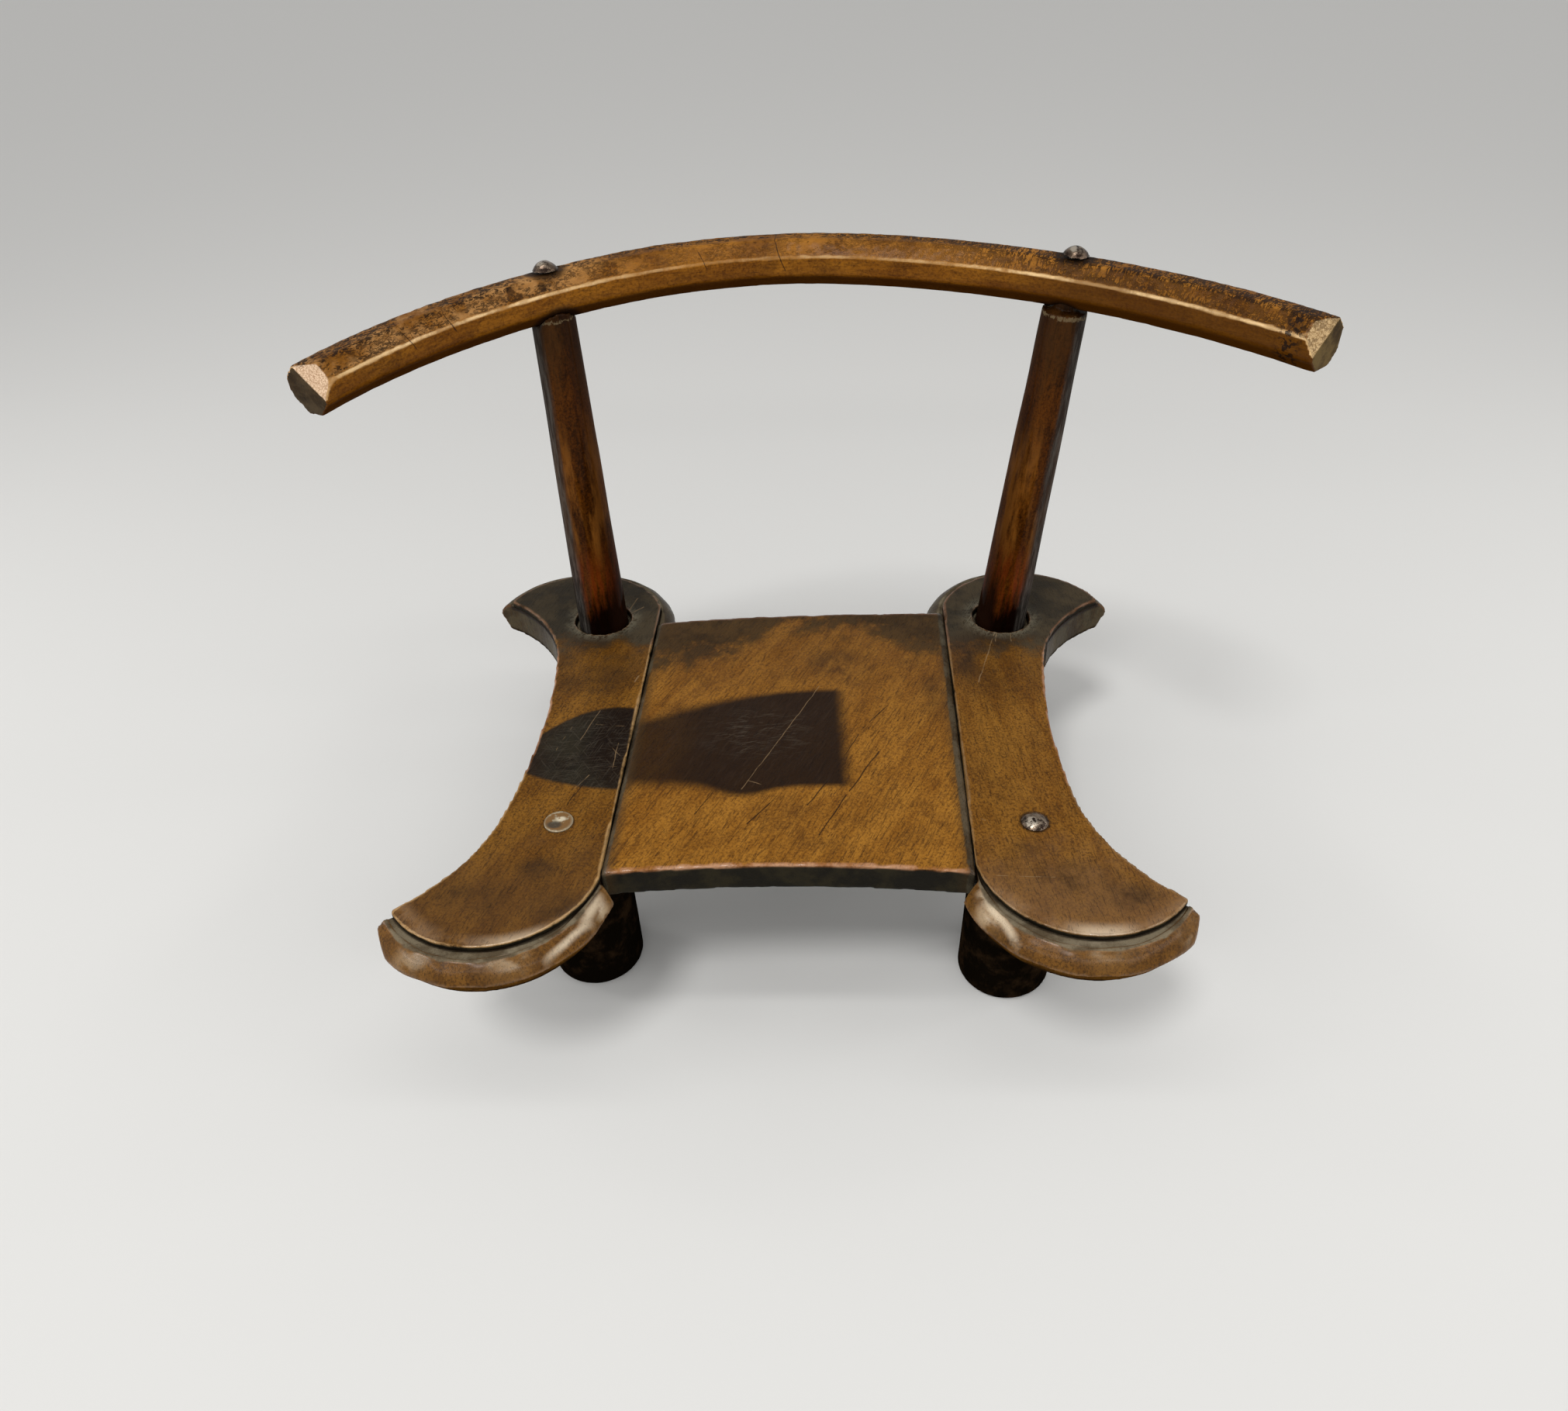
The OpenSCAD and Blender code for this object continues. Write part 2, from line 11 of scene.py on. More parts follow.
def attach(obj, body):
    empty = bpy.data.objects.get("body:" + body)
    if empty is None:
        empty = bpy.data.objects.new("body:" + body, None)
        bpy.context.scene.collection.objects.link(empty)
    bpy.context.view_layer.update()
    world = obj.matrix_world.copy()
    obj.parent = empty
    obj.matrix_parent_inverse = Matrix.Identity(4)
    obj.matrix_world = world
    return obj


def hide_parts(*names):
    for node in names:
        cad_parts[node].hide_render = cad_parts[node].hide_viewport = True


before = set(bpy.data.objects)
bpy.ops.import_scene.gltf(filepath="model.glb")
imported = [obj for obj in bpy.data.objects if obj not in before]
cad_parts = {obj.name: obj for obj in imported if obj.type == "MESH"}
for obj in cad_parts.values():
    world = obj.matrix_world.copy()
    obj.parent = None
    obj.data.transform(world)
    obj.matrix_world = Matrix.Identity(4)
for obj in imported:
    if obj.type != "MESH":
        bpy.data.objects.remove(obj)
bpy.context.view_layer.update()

# A millimetre, and the height of the seat's top, in metres
MM = 0.001
SEAT_Z = 0.152
# How near another piece has to be, in metres, for a finish to grow dark by it: grime, dark joints and
# painted contact shade
CLOSE_REACH = 0.014
# The depth over which a plank's round front end rolls over, and how far it falls
ROLL_REACH = 0.013
ROLL_FALL = 1.6 * MM
# Where the back posts start in the seat, in plan, and where they end in the rail, in metres
POST_FEET = {"left": (-0.18497, 0.14975), "right": (0.16003, 0.14975)}
POST_TOPS = {"left": (-0.19188, 0.15288, 0.43534), "right": (0.18507, 0.1469, 0.44149)}
POST_FOOT_Z = 0.146
# The centres of the front lips, and of the planks' round front ends above them
FRONT_LIPS = {"left": (-0.21197, -0.15475), "right": (0.18503, -0.14275)}
PLANK_ENDS = {"left": (-0.21097, -0.14525), "right": (0.18603, -0.13325)}
PLANK_END_R = 0.075
HOLE_R = 0.0185
# The heights between which a leg's ledge starts, and between which its column ends
LEDGE_START = (0.1385, 0.1405)
COLUMN_END = (0.1245, 0.1205)
# How high above its foot a post has a thin pale ring, just under the rail
PALE_RING = 0.2745
# The rail's middle bend and its two arms in its own plane, in metres and degrees
RAIL_PLACE = (-0.02047, 0.20404, 0.442)
RAIL_PITCH = 4.1
RAIL_ROLL = 1.0
RAIL_MID_R = 0.303
ARM_R = {"left": 0.403, "right": 0.541}
MID_TURN = {"left": 22.5023, "right": 10.9675}
# The way each end face of the rail looks, and the cut that slopes up from it
END_FACE = {"left": (-0.5, -0.86, -0.08), "right": (0.7, -0.71, 0.0)}
END_CUT = {"left": (-0.02, -0.88, 0.47), "right": (0.2, -0.85, 0.48)}
# How far the grain of the boards turns from the chair's depth, in degrees
PANEL_GRAIN = 24
PLANK_GRAIN = {"left": 17, "right": -8}
# The camera's place in metres and how it is turned, in radians; its focal length as a share of the width
CAMERA_PLACE = (0.010533, -0.719217, 0.739117)
CAMERA_PITCH = 0.666679
CAMERA_YAW = 0.0460051
CAMERA_ROLL = 0.0319562
SENSOR_WIDTH = 36
FOCAL_SHARE = 1550 / 2022


def tone(red, green, blue):
    """A colour given as it looks on a screen, from 0 to 255."""
    shares = [level / 255 for level in (red, green, blue)]
    linear = [s / 12.92 if s <= 0.04045 else ((s + 0.055) / 1.055) ** 2.4 for s in shares]
    return (*linear, 1.0)


def wobble(points, cell, seed):
    """Smooth noise from -1 to 1 whose lumps are about a cell wide."""
    where = points / cell + seed * 17.31
    base = np.floor(where).astype(np.int64)
    part = where - base
    part = part * part * (3 - 2 * part)
    total = np.zeros(len(points))
    for corner in range(8):
        step = np.array([corner & 1, corner >> 1 & 1, corner >> 2 & 1])
        x, y, z = (base + step).T
        mixed = (x * 73856093) ^ (y * 19349663) ^ (z * 83492791) ^ (seed * 2654435)
        mixed = ((mixed ^ (mixed >> 13)) * 1274126177) & 0x7FFFFFFF
        mixed = ((mixed ^ (mixed >> 11)) * 668265263) & 0x7FFFFFFF
        weight = np.prod(np.where(step, part, 1 - part), axis=1)
        total += weight * (mixed / 0x3FFFFFFF - 1)
    return total


def ease(values, low, high):
    """0 below low, 1 above high and a smooth rise between them."""
    share = np.clip((values - low) / (high - low), 0, 1)
    return share * share * (3 - 2 * share)


class Skin:
    """The points of a mesh, with what is next to each."""

    def __init__(self, mesh):
        self.mesh = mesh
        flat = np.empty(len(mesh.vertices) * 3)
        mesh.vertices.foreach_get("co", flat)
        self.points = flat.reshape(-1, 3)
        pairs = np.empty(len(mesh.edges) * 2, dtype=np.int32)
        mesh.edges.foreach_get("vertices", pairs)
        self.a, self.b = pairs.reshape(-1, 2).T
        count = len(self.points)
        links = np.bincount(self.a, minlength=count) + np.bincount(self.b, minlength=count)
        self.near = np.maximum(links, 1)

    def spread(self, values):
        """Each value becomes the mean of its neighbours'."""
        count = len(values)
        total = np.bincount(self.a, values[self.b], count) + np.bincount(self.b, values[self.a], count)
        return total / self.near

    def mean_place(self):
        return np.stack([self.spread(self.points[:, axis]) for axis in range(3)], axis=1)

    def smooth(self, passes):
        """Rounds edges without shrinking the shape."""
        for _ in range(passes):
            for pull in (0.5, -0.52):
                self.points = self.points + pull * (self.mean_place() - self.points)
        self.write()

    def write(self):
        self.mesh.vertices.foreach_set("co", self.points.ravel())
        self.mesh.update()

    def normals(self):
        flat = np.empty(len(self.points) * 3)
        self.mesh.vertex_normals.foreach_get("vector", flat)
        return flat.reshape(-1, 3)

    def keep(self, name, values):
        """Stores values on the points, for the finishes."""
        kind = "FLOAT" if values.ndim == 1 else "FLOAT_VECTOR"
        layer = self.mesh.attributes.new(name, kind, "POINT")
        layer.data.foreach_set("value" if values.ndim == 1 else "vector", values.ravel().astype(np.float32))


def recut(node, name, cell):
    """A copy of a CAD node as even cells, fine enough to be shaped."""
    raw = bpy.data.objects.new(name + "_raw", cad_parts[node].data.copy())
    bpy.context.scene.collection.objects.link(raw)
    cells = raw.modifiers.new("cells", "REMESH")
    cells.mode = "VOXEL"
    cells.voxel_size = cell
    cells.use_smooth_shade = True
    graph = bpy.context.evaluated_depsgraph_get()
    graph.update()
    mesh = bpy.data.meshes.new_from_object(raw.evaluated_get(graph))
    bpy.data.objects.remove(raw)
    mesh.name = name
    mesh.materials.clear()
    piece = bpy.data.objects.new(name, mesh)
    bpy.context.scene.collection.objects.link(piece)
    return piece


def neighbours_of(node):
    """All the other CAD nodes as one tree of faces."""
    points, faces = [], []
    for other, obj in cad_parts.items():
        if other == node:
            continue
        start = len(points)
        points += [v.co for v in obj.data.vertices]
        faces += [[start + i for i in p.vertices] for p in obj.data.polygons]
    return BVHTree.FromPolygons(points, faces)


def closeness(node, points, reach):
    """1 where a point touches another piece, down to 0 at the reach."""
    tree = neighbours_of(node)
    found = np.full(len(points), reach)
    for i, point in enumerate(points):
        distance = tree.find_nearest(point, reach)[3]
        if distance is not None:
            found[i] = distance
    return 1 - found / reach


def bend_of(skin, cell):
    """How sharply the surface turns at each point; above 0 on edges that stand out."""
    bend = -np.sum((skin.mean_place() - skin.points) * skin.normals(), axis=1) / cell
    for _ in range(2):
        bend = skin.spread(bend)
    return bend


def worn(node, name, finish, grain, cell, passes, shape=None):
    """A CAD node's worn likeness, which stands for it: cells of a given size, rounded in so many passes."""
    piece = recut(node, name, cell)
    skin = Skin(piece.data)
    skin.smooth(passes)
    if shape:
        edge = ease(bend_of(skin, cell), 0.02, 0.08)
        skin.points = skin.points + skin.normals() * shape(skin.points, skin.normals(), edge)[:, None]
        skin.smooth(1)
    skin.points[:, 2] = np.maximum(skin.points[:, 2], 0)
    skin.write()
    skin.keep("bend", bend_of(skin, cell))
    skin.keep("close", closeness(node, skin.points, CLOSE_REACH))
    skin.keep("grain", grain(skin.points))
    piece.data.materials.append(finish)
    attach(piece, "root")
    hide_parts(node)
    return piece


def turned_grain(degrees):
    """Grain that lies flat, turned from the chair's depth: across, along and through."""
    turn = math.radians(degrees)

    def place(points):
        x, y, z = points.T
        across = x * math.cos(turn) - y * math.sin(turn)
        along = x * math.sin(turn) + y * math.cos(turn)
        return np.stack([across, along, z], axis=1)

    return place


def upright_grain(points):
    """Grain that stands upright."""
    return points[:, [0, 2, 1]]


def post_grain(side):
    """Grain that follows a post, with the height above its foot."""
    foot = np.array([*POST_FEET[side], POST_FOOT_Z])
    way = np.array(POST_TOPS[side]) - foot
    way /= np.linalg.norm(way)
    right = np.cross([0, 1, 0], way)
    right /= np.linalg.norm(right)
    front = np.cross(way, right)

    def place(points):
        off = points - foot
        return np.stack([off @ right, off @ way, off @ front], axis=1)

    return place


def rail_grain(points):
    """Out of the rail's middle line, along it and above it."""
    roll = Matrix.Rotation(math.radians(-RAIL_ROLL), 3, "Y")
    pitch = Matrix.Rotation(math.radians(RAIL_PITCH), 3, "X")
    x, y, z = ((points - np.array(RAIL_PLACE)) @ np.array(roll @ pitch)).T
    side = np.where(x < 0, -1, 1)
    limit = np.radians(np.where(x < 0, MID_TURN["left"], MID_TURN["right"]))
    arm = np.where(x < 0, ARM_R["left"], ARM_R["right"])
    angle = np.arctan2(np.abs(x), y + RAIL_MID_R)
    out = np.hypot(x, y + RAIL_MID_R) - RAIL_MID_R
    length = angle * RAIL_MID_R
    centre_x = (RAIL_MID_R - arm) * np.sin(limit)
    centre_y = (RAIL_MID_R - arm) * np.cos(limit) - RAIL_MID_R
    arm_angle = np.arctan2(np.abs(x) - centre_x, y - centre_y)
    on_arm = angle > limit
    out = np.where(on_arm, np.hypot(np.abs(x) - centre_x, y - centre_y) - arm, out)
    length = np.where(on_arm, limit * RAIL_MID_R + (arm_angle - limit) * arm, length)
    return np.stack([out, side * length, z], axis=1)


def board_shape(points, normals, edge):
    """Soft hollows and dents of long use, with nicks along the edges."""
    nicks = edge * (0.35 * ease(wobble(points, 0.006, 5), 0.15, 0.6) + 0.15 * wobble(points, 0.0035, 6))
    return MM * (0.35 * wobble(points, 0.05, 3) + 0.12 * wobble(points, 0.012, 4) - nicks)


def plank_shape(side):
    """A plank is worn like the middle board, and its round front end rolls over towards the lip."""
    centre = PLANK_ENDS[side]

    def shape(points, normals, edge):
        reach = np.hypot(points[:, 0] - centre[0], points[:, 1] - centre[1])
        roll = np.clip((reach - PLANK_END_R + ROLL_REACH) / ROLL_REACH, 0, 1) ** 2
        roll *= ease(-points[:, 1], 0.12, 0.15) * ease(normals[:, 2], 0.5, 0.9)
        return board_shape(points, normals, edge) - ROLL_FALL * roll

    return shape


def lip_shape(side):
    """The front lips were hewn in broad scoops; the column below is only a little uneven."""
    centre = FRONT_LIPS[side]

    def shape(points, normals, edge):
        turn = np.arctan2(points[:, 1] - centre[1], points[:, 0] - centre[0])
        scoop = turn / math.radians(31) + 0.7 * wobble(points, 0.06, 21) + points[:, 2] * 9
        low = 1 - ease(points[:, 2], 0.118, 0.128)
        flat = ease(np.abs(normals[:, 2]), 0.8, 0.95)
        hewn = 0.42 * np.cos(2 * math.pi * scoop) - 0.45 + 0.25 * wobble(points, 0.02, 8)
        plain = 0.25 * wobble(points, 0.03, 9) - 0.2
        nicks = 0.4 * edge * ease(wobble(points, 0.005, 10), 0.1, 0.6)
        return MM * (hewn * (1 - low) * (1 - flat) + plain * np.maximum(low, flat) - nicks)

    return shape


def rear_leg_shape(points, normals, edge):
    """Uneven faces with nicked edges."""
    nicks = 0.4 * edge * ease(wobble(points, 0.005, 10), 0.1, 0.6)
    return MM * (0.3 * wobble(points, 0.02, 7) + 0.2 * wobble(points, 0.009, 8) - 0.2 - nicks)


def post_shape(points, normals, edge):
    """Long shallow flats left by the knife."""
    stretched = points * np.array([1, 1, 0.2])
    return MM * (0.3 * wobble(stretched, 0.011, 11) + 0.2 * wobble(points, 0.04, 12) - 0.1)


def rail_shape(points, normals, edge):
    """Hewn flats with shallow hollows, and a pitted top."""
    along = rail_grain(points) * np.array([1, 0.25, 1])
    pitted = ease(normals[:, 2], 0.4, 0.8)
    chipped = 0.5 * edge * ease(wobble(points, 0.007, 17), 0.1, 0.6)
    hollow = 0.35 * wobble(along, 0.012, 13) + 0.18 * pitted * wobble(points, 0.0035, 14)
    return MM * (hollow - 0.15 - chipped)


def hammered(points, normals, edge):
    """Dents of a hammer."""
    return MM * (0.4 * wobble(points, 0.007, 15) + 0.15 * wobble(points, 0.003, 16) - 0.4)


class Finish:
    """A surface finish put together from shader nodes."""

    def __init__(self, name):
        self.material = bpy.data.materials.new(name)
        self.material.use_nodes = True
        self.tree = self.material.node_tree
        self.tree.nodes.clear()
        self.place = self.add("ShaderNodeTexCoord").outputs["Object"]
        self.x, self.y, self.z = self.split(self.place)
        self.normal = self.add("ShaderNodeNewGeometry").outputs["Normal"]
        self.facing = self.split(self.normal)
        self.grain = self.stored("grain", "Vector")
        self.close = self.stored("close", "Fac")
        self.bend = self.stored("bend", "Fac")
        self.sway = None

    def add(self, kind, **settings):
        node = self.tree.nodes.new(kind)
        for key, value in settings.items():
            setattr(node, key, value)
        return node

    def feed(self, socket, value):
        if isinstance(value, bpy.types.NodeSocket):
            self.tree.links.new(value, socket)
        else:
            socket.default_value = value

    def stored(self, name, output):
        return self.add("ShaderNodeAttribute", attribute_name=name).outputs[output]

    def split(self, vector):
        node = self.add("ShaderNodeSeparateXYZ")
        self.feed(node.inputs[0], vector)
        return node.outputs

    def calc(self, operation, *values, clamp=False):
        node = self.add("ShaderNodeMath", operation=operation, use_clamp=clamp)
        for socket, value in zip(node.inputs, values):
            self.feed(socket, value)
        return node.outputs[0]

    def times(self, *values):
        result = values[0]
        for value in values[1:]:
            result = self.calc("MULTIPLY", result, value)
        return result

    def plus(self, *values):
        result = values[0]
        for value in values[1:]:
            result = self.calc("ADD", result, value)
        return result

    def rest(self, value):
        """What is left up to 1."""
        return self.calc("SUBTRACT", 1.0, value, clamp=True)

    def most(self, *values):
        result = values[0]
        for value in values[1:]:
            result = self.calc("MAXIMUM", result, value)
        return result

    def vector(self, operation, *values):
        node = self.add("ShaderNodeVectorMath", operation=operation)
        for socket, value in zip(node.inputs, values):
            self.feed(socket, value)
        return node.outputs["Value" if operation in ("LENGTH", "DOT_PRODUCT") else "Vector"]

    def scaled(self, vector, factor):
        node = self.add("ShaderNodeVectorMath", operation="SCALE")
        self.feed(node.inputs[0], vector)
        self.feed(node.inputs["Scale"], factor)
        return node.outputs["Vector"]

    def rise(self, value, low, high):
        """0 at low and 1 at high; low may be the larger."""
        node = self.add("ShaderNodeMapRange", interpolation_type="SMOOTHSTEP", clamp=True)
        fixed = not any(isinstance(end, bpy.types.NodeSocket) for end in (low, high))
        if fixed and low > high:
            low, high = high, low
            node.inputs["To Min"].default_value = 1
            node.inputs["To Max"].default_value = 0
        for name, given in zip(("Value", "From Min", "From Max"), (value, low, high)):
            self.feed(node.inputs[name], given)
        return node.outputs["Result"]

    def noise(self, vector, scale, detail=3.0, rough=0.5, twist=0.0):
        node = self.add("ShaderNodeTexNoise")
        self.feed(node.inputs["Vector"], vector)
        settings = {"Scale": scale, "Detail": detail, "Roughness": rough, "Distortion": twist}
        for name, value in settings.items():
            node.inputs[name].default_value = value
        return node.outputs["Fac"]

    def stretch(self, vector, x, y, z):
        return self.vector("MULTIPLY", vector, (x, y, z))

    def grained(self, across, along, **settings):
        """Noise that runs with the grain."""
        return self.noise(self.stretch(self.grain, across, along, across), 1, **settings)

    def mix(self, share, first, second):
        """Two colours mixed; each may be three levels, from 0 to 255, as it looks on a screen."""
        node = self.add("ShaderNodeMix", data_type="RGBA", clamp_factor=True)
        self.feed(node.inputs[0], share)
        for socket, colour in ((node.inputs[6], first), (node.inputs[7], second)):
            self.feed(socket, tone(*colour) if isinstance(colour, tuple) else colour)
        return node.outputs[2]

    def mottled(self, noise, low, high, first, second):
        """One tone where a noise is low, passing into another where it is high."""
        return self.mix(self.rise(noise, low, high), first, second)

    def over(self, colour, added, *shares):
        """A colour with another laid over it, as strongly as the product of the shares."""
        return self.mix(self.times(*shares), colour, added)

    def to_line(self, start, end, in_plan=False):
        """How far along a line on the seat a point is, from 0 to 1, and how far off; ends in millimetres."""
        a, b = (Vector((x * MM, y * MM, SEAT_Z)) for x, y in (start, end))
        way = b - a
        off = self.vector("SUBTRACT", self.swayed(), tuple(a))
        if in_plan:
            off = self.flat(off)
        ahead = self.vector("DOT_PRODUCT", off, tuple(way))
        share = self.calc("MULTIPLY", ahead, 1 / way.length_squared, clamp=True)
        across = self.vector("SUBTRACT", off, self.scaled(tuple(way), share))
        return share, self.vector("LENGTH", across)

    def line(self, start, end, width):
        """A thin mark on the seat."""
        distance = self.to_line(start, end)[1]
        return self.rise(distance, width * MM, width * 0.35 * MM)

    def gleam(self, start, end, width):
        """A soft streak at any height that fades out at both ends."""
        share, distance = self.to_line(start, end, in_plan=True)
        fade = self.times(share, self.rest(share), 4)
        return self.times(self.rise(distance, width * MM, 0.0), fade)

    def flat(self, vector):
        return self.stretch(vector, 1, 1, 0)

    def swayed(self):
        """The place, moved a little so that drawn lines waver."""
        if self.sway is None:
            node = self.add("ShaderNodeTexNoise")
            self.feed(node.inputs["Vector"], self.place)
            node.inputs["Scale"].default_value = 70
            push = self.vector("SUBTRACT", node.outputs["Color"], (0.5, 0.5, 0.5))
            self.sway = self.vector("ADD", self.place, self.scaled(push, 0.0022))
        return self.sway

    def close_off(self, colour, roughness, height, depth, coat=0.0, coat_rough=0.2, metal=0.0, gloss=0.5):
        """Feeds the shader: depth is the height of the relief in metres."""
        bump = self.add("ShaderNodeBump")
        bump.inputs["Strength"].default_value = 1.0
        bump.inputs["Distance"].default_value = depth
        self.feed(bump.inputs["Height"], height)
        shader = self.add("ShaderNodeBsdfPrincipled")
        self.feed(shader.inputs["Base Color"], colour)
        self.feed(shader.inputs["Roughness"], roughness)
        self.feed(shader.inputs["Normal"], bump.outputs["Normal"])
        shader.inputs["Metallic"].default_value = metal
        self.feed(shader.inputs["Coat Weight"], coat)
        shader.inputs["Coat Roughness"].default_value = coat_rough
        self.feed(shader.inputs["Specular IOR Level"], gloss)
        output = self.add("ShaderNodeOutputMaterial")
        self.tree.links.new(shader.outputs[0], output.inputs["Surface"])
        return self.material

    def old_wood(self, light, mid, dark, fine=1.0, streaky=1.0, gritty=1.0):
        """Wood with a broad figure, streaks along the grain and short pores: colour, streaks and pores."""
        figure = self.grained(60, 16, detail=5, rough=0.6, twist=0.6)
        streak = self.grained(420 * fine, 45 * fine, detail=4, rough=0.7)
        pore = self.rise(self.grained(1300 * fine, 110 * fine), 0.60, 0.70)
        cloud = self.noise(self.place, 26, detail=6, rough=0.66)
        colour = self.mix(self.rise(figure, 0.35, 0.64), mid, light)
        speck = self.grained(560, 330, detail=4, rough=0.75)
        colour = self.over(colour, dark, self.rise(streak, 0.46, 0.7), 0.5 * streaky)
        colour = self.over(colour, light, self.rise(streak, 0.46, 0.3), 0.45 * streaky)
        colour = self.over(colour, dark, self.rise(speck, 0.48, 0.64), 0.5)
        colour = self.over(colour, dark, self.rise(cloud, 0.5, 0.72), 0.55)
        grit = self.noise(self.place, 560, detail=3, rough=0.6)
        colour = self.over(colour, dark, self.rise(grit, 0.5, 0.64), 0.5 * gritty)
        colour = self.over(colour, light, self.rise(grit, 0.48, 0.36), 0.35 * gritty)
        colour = self.over(colour, dark, pore, 0.5)
        return colour, streak, pore

    def smudge(self, centre, reach, soft=0.5):
        """A soft round shade in plan: centre and reaches across and deep, in millimetres."""
        off = self.vector("SUBTRACT", self.swayed(), (centre[0] * MM, centre[1] * MM, 0))
        near = self.stretch(off, 1000 / reach[0], 1000 / reach[1], 0)
        return self.rise(self.vector("LENGTH", near), 1, 1 - soft)

    def hatch(self, degrees, level):
        """Fine straight scratches, turned in plan from the chair's depth."""
        turn = math.radians(degrees)
        across = self.vector("DOT_PRODUCT", self.place, (math.cos(turn), -math.sin(turn), 0))
        along = self.vector("DOT_PRODUCT", self.place, (math.sin(turn), math.cos(turn), 0))
        node = self.add("ShaderNodeCombineXYZ")
        self.feed(node.inputs[0], self.times(across, 1100))
        self.feed(node.inputs[1], self.times(along, 45))
        return self.rise(self.noise(node.outputs[0], 1, detail=2), level, level + 0.05)

    def looks(self, way, low, high):
        """1 where the surface looks a given way."""
        return self.rise(self.vector("DOT_PRODUCT", self.normal, way), low, high)


def dark_patch(f, on_plank):
    """The dark patch across the seat: a tongue on the middle board and a lens on the left plank.

    Its borders are drawn in plan, in millimetres.
    """
    x = f.times(f.x, 1000)
    y = f.times(f.y, 1000)
    if on_plank:
        from_top = f.calc("POWER", f.plus(x, 154), 2)
        top = f.calc("SUBTRACT", 25, f.times(from_top, 0.0108))
        low = f.plus(-72, f.times(f.calc("POWER", f.plus(x, 141), 2), 0.0032))
        below_top = f.rise(f.calc("SUBTRACT", top, y), -1.5, 2.5)
        above_low = f.rise(f.calc("SUBTRACT", y, low), -2, 2.5)
        return f.times(below_top, above_low, f.rise(x, -100, -120))
    soft = f.calc("MULTIPLY_ADD", f.rise(x, -20, -125), 6.5, 4.5)
    top = f.calc("SUBTRACT", 47, f.times(f.calc("POWER", f.plus(x, -19), 2), 0.0016))
    bulge = f.calc("EXPONENT", f.times(f.calc("POWER", f.times(f.plus(x, 52), 1 / 24), 2), -1))
    low = f.calc("SUBTRACT", -69, f.times(bulge, 11))
    above = f.calc("DIVIDE", f.calc("SUBTRACT", top, y), soft)
    below = f.calc("DIVIDE", f.calc("SUBTRACT", y, low), soft)
    uneven = f.times(f.plus(f.noise(f.place, 55, detail=5, rough=0.65), -0.5), 5)
    side = f.rise(f.plus(x, f.times(y, 0.045), uneven), 31, 16)
    return f.times(f.rise(above, -0.7, 1), f.rise(below, -0.7, 1), side)


# The light, middle and dark tones of each board's wood
BOARD_TONES = {
    "panel": ((160, 109, 39), (133, 86, 26), (80, 47, 16)),
    "left": ((132, 89, 30), (104, 66, 18), (60, 37, 12)),
    "right": ((138, 94, 34), (113, 72, 21), (66, 39, 12)),
}
# Where painted highlights lie on the front lips, by their inner end and below the plank, in millimetres in
# plan
LIP_SHEENS = {
    "left": ((-142, -180), (-195, -223), (-256, -224)),
    "right": ((120, -183), (186, -212), (246, -198)),
}
# Sharper painted highlights on the scooped lips, from one place in plan to another, with their width
LIP_GLINTS = {
    "left": [
        ((-172, -224), (-143, -188), 3.2), ((-151, -198), (-141, -166), 4.5),
        ((-205, -231), (-184, -211), 3.5),
    ],
    "right": [((110, -164), (122, -192), 4.5), ((116, -176), (133, -210), 4), ((160, -213), (202, -205), 5)],
}
# Where painted highlights lie on the rolled-over ends of the planks: centre and reaches, in millimetres
END_GLEAMS = {"left": ((-189, -210), (36, 16)), "right": ((184, -203), (30, 15))}
# Pale scratches, each from one place in plan to another, with its width, all in millimetres
SCRATCHES = {
    "panel": [((4, 51), (-52, -72), 0.8), ((-47, -63), (-38, -67), 0.9)],
    "left": [
        ((-165, 159), (-159, 182), 1.4), ((-170, 150), (-152, 168), 1.2), ((-156, -203), (-142, -197), 0.8),
        ((-179, -16), (-169, 20), 0.7), ((-169, 3), (-143, 0), 0.7), ((-150, -48), (-149, -20), 0.9),
        ((-175, -72), (-166, -56), 0.8), ((-197, -34), (-188, 0), 0.5), ((-153, -46), (-144, -46), 0.7),
        ((-165, -10), (-146, -34), 0.6), ((-146, 58), (-144, 66), 1.6),
    ],
    "right": [
        ((153, 126), (132, 56), 1.1), ((166, 126), (165, 112), 1.0), ((155, 128), (152, 112), 1.2),
        ((118, -157), (161, -159), 0.7), ((112, -101), (121, -105), 0.8),
    ],
}
# Dark cracks, given in the same way
CRACKS = {
    "panel": [
        ((49, -30), (26, -74), 0.8), ((24, -78), (5, -119), 0.7), ((61, 31), (38, -2), 0.7),
        ((34, -10), (14, -56), 0.6), ((10, -64), (-4, -89), 0.7), ((-26, -80), (-46, -108), 0.7),
        ((-70, -70), (-84, -98), 0.5),
    ],
    "left": [((-167, -61), (-177, -88), 0.7)],
    "right": [((226, -196), (232, -190), 0.8)],
}
# Dark smudges in plan: centre, reaches and strength
SMUDGES = {
    "panel": [
        ((16, 82), (38, 30), 0.55), ((98, 50), (22, 60), 0.4), ((-92, 96), (44, 26), 0.4),
        ((78, 82), (20, 12), 0.3), ((71, -122), (26, 14), 0.2), ((6, -129), (30, 10), 0.2),
    ],
    "left": [
        ((-188, 113), (30, 22), 0.8), ((-160, 84), (26, 44), 0.35), ((-186, 58), (44, 36), 0.4),
        ((-160, -186), (36, 18), 0.75), ((-186, -152), (22, 16), 0.7), ((-226, -176), (34, 20), 0.5),
        ((-205, 88), (16, 16), 0.5),
    ],
    "right": [
        ((150, 113), (36, 24), 0.8), ((122, 92), (22, 44), 0.85), ((172, -158), (38, 20), 0.75),
        ((205, -176), (28, 16), 0.7), ((145, 23), (9, 8), 0.45), ((150, -130), (18, 10), 0.4),
        ((150, 60), (50, 40), 0.3),
    ],
}


